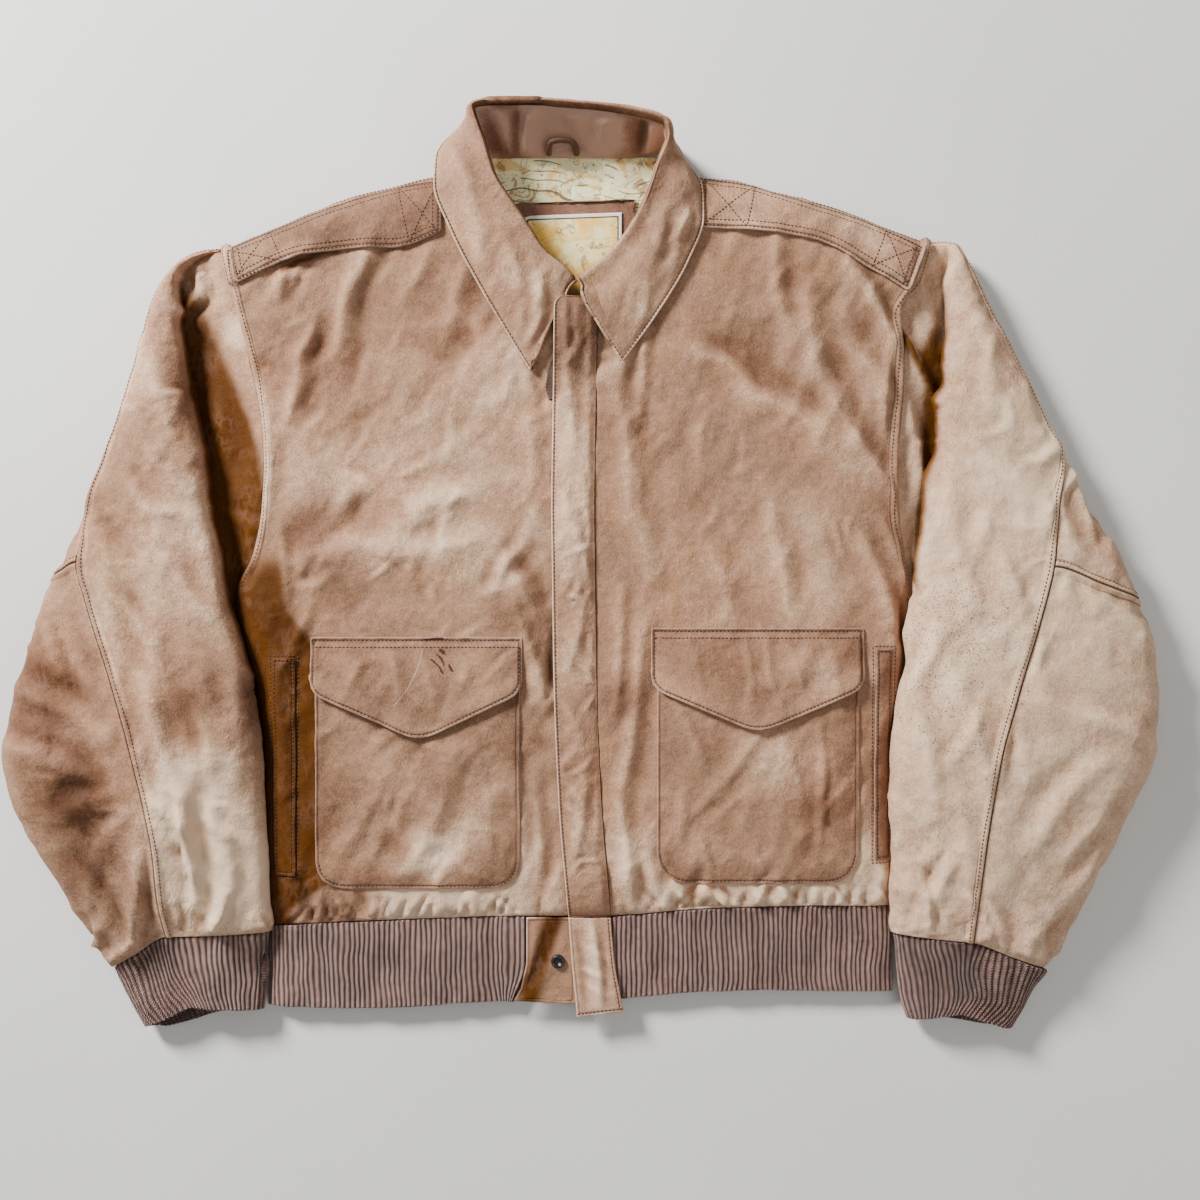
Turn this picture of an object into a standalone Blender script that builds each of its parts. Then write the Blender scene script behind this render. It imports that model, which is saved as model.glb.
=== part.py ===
"""A worn leather flying jacket, lying on its back with both sleeves at its sides.

Sizes are in millimetres and become metres when a mesh is made. +X runs to the wearer's left sleeve,
+Y to the collar and +Z up from the surface that the jacket lies on. "Right" and "left" are the wearer's.

Every panel is a cloth wall between an outer grid of points and an inner one. A grid has a row for each
level up the jacket and a column for each place across it. What lies on a panel, such as a pocket, is cut
from a copy of that panel's own points, moved out.
"""
import math
from collections import namedtuple

import bmesh
import bpy
from mathutils import Vector

MM = 0.001
RIGHT, LEFT = -1, 1

# Cloth
WALL = 2.0            # leather with its lining
KNIT = 3.0            # rib knit, doubled
LINING = 1.0
ZIP_TAPE = 1.0
TRIM = 1.6            # one extra layer of leather: pockets, flaps and straps
SEAM = 0.4            # gap between two pieces at a seam
FLOOR_SHEET = WALL + SEAM     # top of what lies on the floor, with its gap
SPARE = 60.0          # cloth kept round an outline before it is cut

# Body
SIDE_ROUND = 46.0     # how far in from the side the front reaches its full height
SHOULDER_ROUND = 34.0
NECK_HALF = 96.0      # half the width between the shoulders' inner ends
FLAP_WIDTH = 37.0     # wind flap over the zip
FLAP_OVER_RIGHT = 12.0    # the right front runs this far under the wind flap
NECK_BLEND = 30.0     # width over which a front turns from the shoulder's drop to the open neck
NECK_RISE = 7.0       # how much the fronts rise towards the neck
NECK_RISE_PLACE = (60, 320)
NECK_RISE_REACH = 130.0
# Across a front, from the side to the closing edge: share of its width
COLUMN_SHARES = (0.0, 0.018, 0.05, 0.10, 0.17, 0.26, 0.37, 0.49, 0.62, 0.75, 0.88, 1.0)

# Sleeve tubes
TUCK = 18.0           # how far a tube's foot stands in from its widest line
WIDEST = 0.44         # height of that line, as a share of the tube's height
UNDER_SEAM = 20.0     # the underarm seam lies this far in from the inner fold
BOXINESS = 0.72       # below 1, the tube's top is flatter than a half round
FRONT_COLUMNS = 5     # places across the tube on the body side of the seam on top
BACK_COLUMNS = 3      # and on the outer side

BodyLevel = namedtuple("BodyLevel", "y side edge full")
# y: height up the body; side: distance of the side or armhole from the middle;
# edge: height of the cloth there; full: height of the cloth well inside
BODY = {
    RIGHT: [
        BodyLevel(-300, 270, 4.4, 13),
        BodyLevel(-288, 270, 4.4, 19),
        BodyLevel(-260, 271, 4.4, 23),
        BodyLevel(-215, 273, 4.4, 24),
        BodyLevel(-165, 273, 4.4, 24.5),
        BodyLevel(-120, 276, 4.4, 25),
        BodyLevel(-80, 284, 4.4, 25.5),
        BodyLevel(-45, 294, 4.4, 26),
        BodyLevel(-20, 299, 13, 26),
        BodyLevel(15, 283, 18, 26.5),
        BodyLevel(55, 275, 21, 27),
        BodyLevel(95, 273, 22, 27.5),
        BodyLevel(130, 275, 23, 28),
        BodyLevel(165, 281, 24, 28.5),
        BodyLevel(195, 288, 24.5, 29),
        BodyLevel(225, 296, 25, 30),
        BodyLevel(250, 302, 25.5, 31.5),
        BodyLevel(268, 306.5, 26, 32.5),
        BodyLevel(277, 309.5, 26, 33),
        BodyLevel(282, 311, 26, 33),
    ],
    LEFT: [
        BodyLevel(-292, 268, 4.4, 13),
        BodyLevel(-280, 268, 4.4, 19),
        BodyLevel(-252, 267, 4.4, 23),
        BodyLevel(-210, 265, 4.4, 24),
        BodyLevel(-165, 266, 4.4, 24.5),
        BodyLevel(-120, 271, 4.4, 25),
        BodyLevel(-80, 276, 4.4, 25.5),
        BodyLevel(-45, 280, 4.4, 26),
        BodyLevel(-15, 285, 13, 26),
        BodyLevel(18, 280, 18, 26.5),
        BodyLevel(55, 275, 21, 27),
        BodyLevel(95, 274.5, 22, 27.5),
        BodyLevel(130, 276, 23, 28),
        BodyLevel(160, 278.5, 24, 28.5),
        BodyLevel(190, 279, 24.5, 29),
        BodyLevel(222, 276, 25, 30),
        BodyLevel(252, 292, 25.5, 31.5),
        BodyLevel(273, 299, 26, 32.5),
        BodyLevel(283, 302.5, 26, 33),
        BodyLevel(288, 304, 26, 33),
    ],
}
YOKE_START = 15       # the first level whose row bends up to the shoulder and the neck

# Shoulder line and front neckline: distance from the middle, and y there
SHOULDER = {
    RIGHT: [(96, 350), (128, 346), (175, 335), (203, 328), (241, 312), (271, 299), (311, 282)],
    LEFT: [(96, 349), (130, 343), (174, 332), (216, 322), (253, 307), (281, 296), (304, 288)],
}
NECKLINE = [(8, 244), (34, 266), (56, 292), (76, 320), (96, 349.5)]
HEM = {
    RIGHT: [(0, -299), (60, -299), (150, -302), (220, -305), (280, -308)],
    LEFT: [(0, -300), (40, -299), (100, -293), (200, -290), (280, -291)],
}
KNIT_FOOT = {
    RIGHT: [(0, -374), (60, -374), (100, -375), (150, -379), (210, -380), (280, -377)],
    LEFT: [(0, -374), (40, -372), (75, -367), (150, -364), (280, -366)],
}

SleeveLevel = namedtuple("SleeveLevel", "y_in y_seam y_out arm fold out seam height valley")
# y_in, y_seam, y_out: level at the body side, at the seam on top and at the outer edge;
# arm: armhole, or None below the armpit; fold: inner edge of the tube; out: its outer edge;
# seam: the long seam on top; height: of the tube; valley: of the cloth between armhole and tube
SLEEVE = {
    RIGHT: [
        SleeveLevel(282, 282, 282, 311, 313, 317, 317, 5.5, 4.6),
        SleeveLevel(277, 277, 277, 309.5, 321, 333, 333, 19, 12),
        SleeveLevel(268, 268, 268, 306.5, 337, 346, 346, 27, 13),
        SleeveLevel(250, 250, 250, 302, 350, 361, 361, 31, 12),
        SleeveLevel(225, 225, 225, 296, 349, 371, 371, 36, 11),
        SleeveLevel(195, 195, 195, 288, 343, 379, 379, 39, 10),
        SleeveLevel(165, 165, 165, 281, 336, 388, 388, 41, 9),
        SleeveLevel(130, 130, 130, 275, 329, 399, 399, 43, 9),
        SleeveLevel(95, 95, 95, 273, 323, 412, 412, 45, 9),
        SleeveLevel(55, 55, 55, 275, 319, 426, 426, 46, 9),
        SleeveLevel(15, 8, -4, 283, 306.5, 453, 427, 48, 9),
        SleeveLevel(-20, -22, -28, 299, 303, 465, 419, 50, 9),
        SleeveLevel(-45, -47, -52, None, 296, 472, 411, 51, 9),
        SleeveLevel(-80, -80, -82, None, 286, 481, 400, 52, 9),
        SleeveLevel(-120, -120, -120, None, 278, 490, 387, 54, 9),
        SleeveLevel(-160, -160, -158, None, 275, 498, 376, 55, 9),
        SleeveLevel(-200, -200, -195, None, 274.5, 492, 367, 53, 9),
        SleeveLevel(-240, -240, -240, None, 272.5, 470, 361, 49, 9),
        SleeveLevel(-280, -281, -287, None, 271.5, 440, 359, 42, 9),
        SleeveLevel(-311, -313, -343, None, 271, 407, 355, 32, 8),
    ],
    LEFT: [
        SleeveLevel(288, 288, 287, 304, 306, 312, 312, 5.5, 4.6),
        SleeveLevel(283, 283, 282.5, 302.5, 317, 327, 327, 19, 13),
        SleeveLevel(273, 273, 272, 299, 321.5, 331.5, 331, 28, 15),
        SleeveLevel(252, 252, 251, 292, 322, 342, 341, 33, 14),
        SleeveLevel(222, 222, 220, 276, 321, 356, 355, 37, 12),
        SleeveLevel(190, 190, 188, 279, 318, 373, 372, 40, 11),
        SleeveLevel(160, 160, 158, 278.5, 314, 388, 387, 42, 10),
        SleeveLevel(130, 130, 128, 276, 310, 402, 401, 44, 10),
        SleeveLevel(95, 95, 92, 274.5, 305, 421, 414, 46, 10),
        SleeveLevel(55, 57, 53, 275, 298, 442, 407, 47, 10),
        SleeveLevel(18, 29, 20, 280, 293, 460, 404, 49, 10),
        SleeveLevel(-15, 4, -24, 285, 289, 481, 400, 51, 9),
        SleeveLevel(-45, -42, -50, None, 282, 491, 388, 52, 9),
        SleeveLevel(-80, -79, -82, None, 278, 495, 376, 54, 9),
        SleeveLevel(-120, -120, -120, None, 273, 498, 364, 56, 9),
        SleeveLevel(-155, -155, -152, None, 269, 495, 355, 56, 9),
        SleeveLevel(-195, -195, -193, None, 266.5, 479, 349, 53, 9),
        SleeveLevel(-237, -237, -238, None, 267, 457, 343, 49, 9),
        SleeveLevel(-277, -281, -290, None, 268, 434, 339, 42, 9),
        SleeveLevel(-312, -318, -343, None, 270, 403, 337, 32, 8),
    ],
}
ELBOW = {RIGHT: 10, LEFT: 11}   # the level of the seam across the outer panel
CUFF = {
    RIGHT: [
        SleeveLevel(-331, -333, -362, None, 272, 399, 352, 28, 8),
        SleeveLevel(-356, -355, -380, None, 273, 390, 345, 26, 7),
        SleeveLevel(-380, -377, -397, None, 276, 381, 334, 24, 7),
    ],
    LEFT: [
        SleeveLevel(-338, -340, -357, None, 275, 396, 338, 29, 8),
        SleeveLevel(-362, -362, -376, None, 280, 389, 339, 26, 7),
        SleeveLevel(-388, -382, -396, None, 287, 374, 328, 24, 7),
    ],
}

Fold = namedtuple("Fold", "x1 y1 x2 y2 half_width depth")
# The deepest folds of the fronts, each a soft trough between two ends
FRONT_FOLDS = [
    Fold(-185, 272, -211, 195, 20, 2.6),
    Fold(-155, 113, -198, 53, 20, 2.2),
    Fold(-249, -26, -150, 2, 20, 2.6),
    Fold(-69, -18, -36, -100, 18, 2.2),
    Fold(103, 182, 245, 90, 20, 2.6),
    Fold(200, 215, 262, 84, 18, 2.6),
    Fold(242, 20, 262, -30, 18, 3.0),
    Fold(51, -58, 40, -195, 16, 2.0),
]
SLEEVE_FOLDS = [
    Fold(-474, -101, -395, -144, 18, 4.0),
    Fold(-404, -15, -386, -93, 18, 3.0),
    Fold(-338, -180, -331, -280, 18, 3.5),
    Fold(-345, 60, -312, -20, 16, 3.0),
    Fold(345, 90, 420, 20, 18, 3.0),
    Fold(300, -60, 345, -190, 18, 3.0),
    Fold(385, -230, 440, -160, 20, 4.0),
    Fold(300, -285, 320, -240, 14, 3.0),
]

CollarStation = namedtuple("CollarStation", "roll_x roll_y roll_z out_x out_y out_z")
# Along the collar from the right front, behind the neck, to the left front:
# the line that it rolls over on, and its outer edge
COLLAR = [
    CollarStation(-11, 246, 37, -24.5, 213, 33.5),
    CollarStation(-15, 252, 39, -43, 172, 32.5),
    CollarStation(-24, 262, 42, -60, 199, 34),
    CollarStation(-33, 273, 44, -86, 242, 38),
    CollarStation(-54, 305, 51, -111, 290, 40),
    CollarStation(-72, 332, 57, -125, 328, 40.5),
    CollarStation(-82, 363, 61, -124, 354, 36),
    CollarStation(-90, 388, 63, -107, 381, 22),
    CollarStation(-78, 392, 64, -88, 395, 6),
    CollarStation(-42, 392.5, 64, -44, 397, 3),
    CollarStation(0, 390, 64, 2, 395, 3),
    CollarStation(42, 385, 64, 46, 390, 3),
    CollarStation(72, 376, 63, 82, 376, 10),
    CollarStation(75, 365, 62, 90, 352, 34),
    CollarStation(66, 341, 59, 105, 325, 41),
    CollarStation(54, 309, 53, 106, 300, 41),
    CollarStation(36, 281, 46, 92, 262, 38.5),
    CollarStation(20, 264, 42, 63, 215, 34),
    CollarStation(9, 253, 42, 37, 180, 33),
    CollarStation(1, 247, 44.5, 5, 228, 45),
]
COLLAR_WALL = 2.4
STAND_WALL = 1.8
COLLAR_BULK = 7.0     # how much the wind flap rises over the collar's right end
ROLL_DROP = 7.0       # how far the collar turns down inside its roll
NECK_SEAM_Z = 22.0
NECK_SEAM_Y = 357.0

# Outlines of what lies on the fronts, going round from the top inner corner
POCKET = {
    RIGHT: dict(inner=-52, outer=-228, top=-62, bottom=-273, corner=24),
    LEFT: dict(inner=66, outer=240, top=-54, bottom=-269, corner=26),
}
POCKET_FLAP = {
    RIGHT: dict(inner=-50, outer=-232, top=-56, side=-104, tip_x=-138, tip_y=-143, corner=9),
    LEFT: dict(inner=61, outer=244, top=-48, side=-100, tip_x=153, tip_y=-136, corner=9),
}
WELT = {
    RIGHT: dict(inner=-245, outer=-265, top=-74, bottom=-262),
    LEFT: dict(inner=254, outer=270, top=-66, bottom=-249),
}
# An epaulette: its corners as distance from the middle, and y
EPAULETTE = {
    RIGHT: [(118, 338), (118, 290), (150, 277), (195, 277), (238, 270), (258, 264),
            (300, 244), (307, 279), (272, 292), (235, 307), (186, 325), (150, 334)],
    LEFT: [(100, 340), (98, 293), (138, 292), (175, 289), (208, 282), (230, 271),
           (281, 240), (296, 280), (252, 301), (196, 319), (150, 334)],
}
# Where the zip's tape looks out beside the wind flap
ZIP_SLIVER = [(-24, 184), (-28, 172), (-30, 158), (-27, 148), (-16, 148), (-16, 184)]
# Across the wind flap: share of its width, and height over the front
FLAP_SECTION = [(0.0, 3.5), (0.12, 4.0), (0.5, 4.0), (0.88, 2.6), (1.0, 1.0)]
FLAP_FOOT = -298.6    # where the wind flap ends at the waist's cross seam
FLAP_HEAD = (210, 221, 231)   # its last levels, over the collar
FLAP_EDGE = [(-386, -4), (-299, -12), (-200, -19), (-100, -23), (60, -25), (244, -22)]

TAB_RIGHT = [(-47, -299.6), (-47, -340), (-52, -362), (-58, -372.5), (-30, -374), (-4, -375), (-4, -299.6)]
TAB_RIGHT_Z = 15.2
BAND_BY_TAB = [(-374, 59), (-362, 52), (-340, 47), (-299, 47)]   # y, and the right band's end there
BAND_LEFT_END = 28.0
# Down a waistband: share of its depth, and how far it sinks there
BAND_SINK = [(0.0, 0.0), (0.12, 0.6), (0.55, 1.2), (1.0, 2.0)]

TabLevel = namedtuple("TabLevel", "y left width z")
# The left tab, which carries the wind flap on over the waist
TAB_LEFT = [
    TabLevel(-299.4, -12, 37, 18.2),
    TabLevel(-312, -10.6, 37, 18.8),
    TabLevel(-340, -7.5, 38, 18.4),
    TabLevel(-365, -5, 40, 18.2),
    TabLevel(-386, -3, 41, 17.8),
]
TAB_SHARES = (0.0, 0.12, 0.5, 0.88, 1.0)
TAB_SLANT = 5.0       # its foot rises this much towards the left
TAB_LIP = 0.6

SNAP_PLACE = (-19.5, -337.5)
# A turned section: distance from the snap's middle, and height
SNAP_SECTION = [(0.0, 0.9), (2.6, 0.9), (3.2, 2.2), (5.0, 2.4), (6.0, 1.6), (6.0, 0.0)]

# The lining inside the neck slopes from the neck seam down to the back: y and z
LINING_SLOPE = [(226, 7.0), (357, 20.5)]
NECK_LINING = [(-80, 356), (-84, 318), (-66, 285), (-40, 252), (-12, 228), (4, 228),
               (34, 252), (56, 282), (70, 318), (66, 356)]
# The patch on it: its leather border's outer corners, and the band's width
PATCH = dict(left=-60, right=47, far=322, fall=3, band=11, length=62, foot_length=72)
PATCH_POINT = [(6, 232), (-14, 232)]
BORDER_THICK = 1.3
LOOP_PATH = [(-27, 358.5, 28.5), (-26.5, 364, 38), (-24, 369, 44.5), (-15, 370.5, 47),
             (-7, 369, 44.5), (-3.8, 364, 38), (-3, 358.5, 28.5)]
LOOP_RADIUS = 1.9

COLOURS = {
    # name: (base colour, roughness, metallic)
    "leather": ((0.46, 0.29, 0.20), 0.62, 0.0),
    "dark_leather": ((0.20, 0.11, 0.075), 0.55, 0.0),
    "knit": ((0.17, 0.095, 0.075), 0.9, 0.0),
    "lining": ((0.78, 0.70, 0.50), 0.6, 0.0),
    "patch": ((0.75, 0.60, 0.35), 0.7, 0.0),
    "snap_metal": ((0.05, 0.045, 0.04), 0.4, 0.9),
    "zip_tape": ((0.06, 0.04, 0.03), 0.8, 0.0),
}


def clear_scene():
    """Start from an empty scene."""
    for thing in list(bpy.data.objects):
        bpy.data.objects.remove(thing, do_unlink=True)


def material(name):
    """A plain finish with the piece's colour."""
    made = bpy.data.materials.get(name)
    if made:
        return made
    colour, roughness, metallic = COLOURS[name]
    made = bpy.data.materials.new(name)
    made.use_nodes = True
    shader = made.node_tree.nodes["Principled BSDF"]
    shader.inputs["Base Color"].default_value = (*colour, 1.0)
    shader.inputs["Roughness"].default_value = roughness
    shader.inputs["Metallic"].default_value = metallic
    made.diffuse_color = (*colour, 1.0)
    return made


def add_object(name, bm, finish):
    """Close a bmesh into a named object with its own finish."""
    bmesh.ops.recalc_face_normals(bm, faces=bm.faces[:])
    if bm.calc_volume(signed=True) < 0:
        bmesh.ops.reverse_faces(bm, faces=bm.faces[:])
    mesh = bpy.data.meshes.new(name)
    bm.to_mesh(mesh)
    bm.free()
    mesh.shade_smooth()
    mesh.set_sharp_from_angle(angle=math.radians(50))
    mesh.materials.append(material(finish))
    made = bpy.data.objects.new(name, mesh)
    bpy.context.scene.collection.objects.link(made)
    return made


def sheet(name, outer, inner, finish, closed=False):
    """A cloth wall between an outer and an inner grid; closed joins the last column to the first."""
    rows, columns = len(outer), len(outer[0])
    if closed:
        outer = [row + row[:1] for row in outer]
        inner = [row + row[:1] for row in inner]
        columns += 1
    bm = bmesh.new()
    bmesh.ops.create_grid(bm, x_segments=columns - 1, y_segments=rows - 1, size=1)
    bm.verts.ensure_lookup_table()
    place = bm.verts.layers.int.new("place")
    for index, vert in enumerate(bm.verts):
        vert[place] = index
    bmesh.ops.triangulate(bm, faces=bm.faces[:], quad_method="FIXED")
    skin = set(bm.verts)
    bmesh.ops.extrude_face_region(bm, geom=bm.faces[:], use_keep_orig=True)
    for vert in bm.verts:
        row, column = divmod(vert[place], columns)
        grid = outer if vert in skin else inner
        vert.co = grid[row][column] * MM
    if closed:
        bmesh.ops.remove_doubles(bm, verts=bm.verts[:], dist=0.01 * MM)
        walls = [face for face in bm.faces if any(len(edge.link_faces) > 2 for edge in face.edges)
                 and is_seam_wall(face, outer, inner)]
        bmesh.ops.delete(bm, geom=walls, context="FACES")
    return add_object(name, bm, finish)


def is_seam_wall(face, outer, inner):
    """True for the inside wall left where the last column meets the first."""
    seam = [row[0] * MM for row in outer + inner]
    return all(min((vert.co - point).length for point in seam) < 0.01 * MM for vert in face.verts)


def between(table, at):
    """Read a table of (place, value) pairs at a place between its rows, along straight lines."""
    if at <= table[0][0]:
        return table[0][1]
    for (low, first), (high, second) in zip(table, table[1:]):
        if at <= high:
            return first + (second - first) * (at - low) / (high - low)
    return table[-1][1]


def body_at(side, y):
    """The body's side, edge height and full height at any level."""
    rows = BODY[side]
    return [between([(row.y, getattr(row, column)) for row in rows], y)
            for column in ("side", "edge", "full")]


def round_over(share):
    """A quarter round from 0 to 1."""
    share = min(max(share, 0.0), 1.0)
    return math.sqrt(1.0 - (1.0 - share) ** 2)


def folds_depth(folds, x, y):
    """How far the folds press the cloth down at a place."""
    depth = 0.0
    for fold in folds:
        run = Vector((fold.x2 - fold.x1, fold.y2 - fold.y1))
        reach = Vector((x - fold.x1, y - fold.y1))
        along = min(max(reach.dot(run) / run.length_squared, 0.0), 1.0)
        away = (reach - run * along).length / fold.half_width
        depth += fold.depth * math.exp(-away * away)
    return depth


def top_edge(side, reach):
    """The y of the shoulder line, or of the neckline nearer the middle."""
    if reach < NECK_HALF:
        return between(NECKLINE, reach)
    return between(SHOULDER[side], reach)


def front_height(side, reach, y):
    """Height of a front's outer skin, at a distance from the middle."""
    edge_x, edge, full = body_at(side, y)
    height = edge + (full - edge) * round_over((edge_x - reach) / SIDE_ROUND)
    below = between(SHOULDER[side], reach) - y
    if reach > NECK_HALF - NECK_BLEND:
        drop = round_over(below / SHOULDER_ROUND)
        share = min((reach - NECK_HALF + NECK_BLEND) / NECK_BLEND, 1.0)
        lowest = FLOOR_SHEET + WALL
        height = lowest + (height - lowest) * (1.0 - share * (1.0 - drop))
    place_x, place_y = NECK_RISE_PLACE
    near_neck = max(0.0, 1.0 - math.hypot(reach - place_x, y - place_y) / NECK_RISE_REACH)
    height += NECK_RISE * near_neck * near_neck * round_over(below / (2 * NECK_BLEND))
    return height - folds_depth(FRONT_FOLDS, side * reach, y) * min(1.0, max(0.0, height - 8) / 12)


def closing_edge(side, y):
    """Where a front ends under or beside the wind flap, as distance from the middle."""
    flap = between(FLAP_EDGE, y)
    return -(flap + FLAP_OVER_RIGHT) if side == RIGHT else flap + FLAP_WIDTH + SEAM / 2


def front_rows(side):
    """Outer points of a front, from the hem to the shoulder, from the side to the closing edge."""
    rows = []
    levels = BODY[side]
    knee = levels[YOKE_START].y
    for index, level in enumerate(levels):
        edge = level.side - SEAM / 2
        row = []
        for share in COLUMN_SHARES:
            if index > YOKE_START:
                climb = (level.y - knee) / (levels[-1].y - knee)
                near = closing_edge(side, knee)
                reach = edge + (near - edge) * share
                start = levels[-1].side + (near - levels[-1].side) * share
                y = knee + (top_edge(side, start) - knee) * climb
            else:
                reach = edge + (closing_edge(side, level.y) - edge) * share
                y = level.y if index else between(HEM[side], reach) + SEAM / 2
            height_at = level.y if share == 0.0 else y
            row.append(Vector((side * reach, y, front_height(side, reach, height_at))))
        rows.append(row)
    return rows


def lowered(rows, drop):
    """The same grid moved straight down, or up by a negative drop."""
    return [[point - Vector((0, 0, drop)) for point in row] for row in rows]


def wall_inside(rows, thickness, upright=()):
    """The inner grid of a wall: each point moved in along the cloth's normal, or straight down
    in the columns named upright."""
    inner = []
    for r, row in enumerate(rows):
        line = []
        for c, point in enumerate(row):
            before, after = rows[max(r - 1, 0)][c], rows[min(r + 1, len(rows) - 1)][c]
            left, right = row[max(c - 1, 0)], row[min(c + 1, len(row) - 1)]
            normal = (right - left).cross(after - before)
            if normal.length < 1e-6:
                normal = Vector((0, 0, 1))
            line.append(point - Vector((0, 0, abs(thickness))) if c in upright
                        else point - normal.normalized() * thickness)
        inner.append(line)
    return inner


def cut_to(piece, outline, low=-20.0, high=120.0):
    """Keep only what stands over an outline: a hidden upright block cuts the piece."""
    bm = bmesh.new()
    foot = [bm.verts.new(Vector((x, y, low)) * MM) for x, y in outline]
    base = bm.faces.new(foot)
    raised = bmesh.ops.extrude_face_region(bm, geom=[base])
    tops = [item for item in raised["geom"] if isinstance(item, bmesh.types.BMVert)]
    bmesh.ops.translate(bm, vec=Vector((0, 0, high - low)) * MM, verts=tops)
    cutter = add_object(piece.name + "_outline", bm, "leather")
    cutter.hide_render = True
    cutter.display_type = "WIRE"
    cut = piece.modifiers.new("Outline", "BOOLEAN")
    cut.operation = "INTERSECT"
    cut.solver = "EXACT"
    cut.object = cutter
    return piece


def laid_on(name, rows, lift, thickness, outline, finish="leather"):
    """A piece lying on a panel: the panel's own points moved up, cut to an outline."""
    xs = [x for x, y in outline]
    ys = [y for x, y in outline]
    keep_rows = [row for row in rows
                 if max(p.y for p in row) > min(ys) - SPARE and min(p.y for p in row) < max(ys) + SPARE]
    columns = [c for c in range(len(rows[0]))
               if any(min(xs) - SPARE < row[c].x < max(xs) + SPARE for row in keep_rows)]
    part = [[row[c] for c in columns] for row in keep_rows]
    piece = sheet(name, lowered(part, -(lift + thickness)), lowered(part, -lift), finish)
    return cut_to(piece, outline)


def round_corner(before, corner, after, radius, steps=4):
    """Points of an arc that rounds one corner of an outline."""
    corner = Vector(corner)
    to_before = (Vector(before) - corner).normalized()
    to_after = (Vector(after) - corner).normalized()
    half = to_before.angle(to_after) / 2
    run = radius / math.tan(half)
    middle = corner + (to_before + to_after).normalized() * (radius / math.sin(half))
    start = corner + to_before * run - middle
    end = corner + to_after * run - middle
    sweep = start.angle_signed(end)
    points = []
    for step in range(steps + 1):
        turn = -sweep * step / steps
        points.append((middle.x + start.x * math.cos(turn) - start.y * math.sin(turn),
                       middle.y + start.x * math.sin(turn) + start.y * math.cos(turn)))
    return points


def pocket_outline(inner, outer, top, bottom, corner):
    """A patch pocket with rounded lower corners."""
    low_inner = round_corner((inner, top), (inner, bottom), (outer, bottom), corner)
    low_outer = round_corner((inner, bottom), (outer, bottom), (outer, top), corner)
    return [(inner, top)] + low_inner + low_outer + [(outer, top)]


def flap_outline(inner, outer, top, side, tip_x, tip_y, corner):
    """A pointed flap: straight top, short sides, and two edges that run to a blunt tip."""
    turn = round_corner((inner, top), (inner, side), (tip_x, tip_y), corner)
    tip = round_corner((inner, side), (tip_x, tip_y), (outer, side), corner)
    back = round_corner((tip_x, tip_y), (outer, side), (outer, top), corner)
    return [(inner, top)] + turn + tip + back + [(outer, top)]


def oblong(inner, outer, top, bottom):
    """The four corners of a welt."""
    return [(inner, top), (inner, bottom), (outer, bottom), (outer, top)]


def sleeve_section(side, level):
    """Outer points round one section of a sleeve: from the armhole or the underarm seam, over the
    tube, round its outer edge and back along the floor. Also the index of the seam on top."""
    middle = WIDEST * level.height
    width = level.out - level.fold
    tuck = min(TUCK, width * 0.35)
    seam_turn = math.acos(1 - 2 * min((level.seam - level.fold) / width, 0.985)) / math.pi

    def on_top(turn):
        share = (1 - math.cos(math.pi * turn)) / 2
        reach = level.fold + width * share
        seam_share = max((level.seam - level.fold) / width, 0.05)
        if share < seam_share:
            y = level.y_in + (level.y_seam - level.y_in) * share / seam_share
        else:
            beyond = (share - seam_share) / max(1 - seam_share, 0.01)
            y = level.y_seam + (level.y_out - level.y_seam) * beyond
        height = middle + (level.height - middle) * math.sin(math.pi * turn) ** BOXINESS
        sunk = folds_depth(SLEEVE_FOLDS, side * reach, y) * math.sin(math.pi * turn)
        return Vector((side * reach, y, height - sunk))

    if level.arm is None:
        start = Vector((side * (level.fold + UNDER_SEAM), level.y_in, 0.0))
        ankle = Vector((side * (level.fold + tuck * 0.8), level.y_in, 0.0))
        end = Vector((side * (level.fold + UNDER_SEAM), level.y_in, 0.0))
    else:
        edge_y = level.y_in
        arm = level.arm + SEAM / 2
        start = Vector((side * arm, edge_y, front_height(side, level.arm, edge_y)))
        ankle = Vector((side * (arm + (level.fold - arm) * 0.5), edge_y,
                        0.45 * start.z + 0.55 * level.valley))
        end = Vector((side * arm, edge_y, 0.0))
    valley = Vector((side * (level.fold + min(5.0, width * 0.3)), level.y_in, level.valley))
    points = [start, ankle, valley]
    points += [on_top(seam_turn * step / FRONT_COLUMNS) for step in range(FRONT_COLUMNS + 1)]
    seam_index = len(points) - 1
    points += [on_top(seam_turn + (1 - seam_turn) * step / BACK_COLUMNS) for step in range(1, BACK_COLUMNS + 1)]
    for angle in (40, 90):
        turn = math.radians(angle)
        points.append(Vector((side * (level.out - tuck * (1 - math.cos(turn))), level.y_out,
                              middle * (1 - math.sin(turn)))))
    foot = points[-1]
    points.append(foot.lerp(end, 0.5))
    points.append(end)
    return points, seam_index


def trimmed(outer, inner, first, last, cut_first, cut_last):
    """Columns first to last of two grids, each cut end moved in by half a seam's gap."""
    grids = []
    for grid in (outer, inner):
        rows = []
        for row in grid:
            part = [point.copy() for point in row[first:last + 1]]
            if cut_first:
                part[0] += (part[1] - part[0]).normalized() * SEAM * 0.75
            if cut_last:
                part[-1] += (part[-2] - part[-1]).normalized() * SEAM * 0.75
            rows.append(part)
        grids.append(rows)
    return grids


def cut_row(rows, other, gap):
    """Move a grid's first row towards the next one by a gap, as a seam's edge."""
    for grid in (rows, other):
        grid[0] = [point + (after - point).normalized() * gap for point, after in zip(grid[0], grid[1])]


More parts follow.
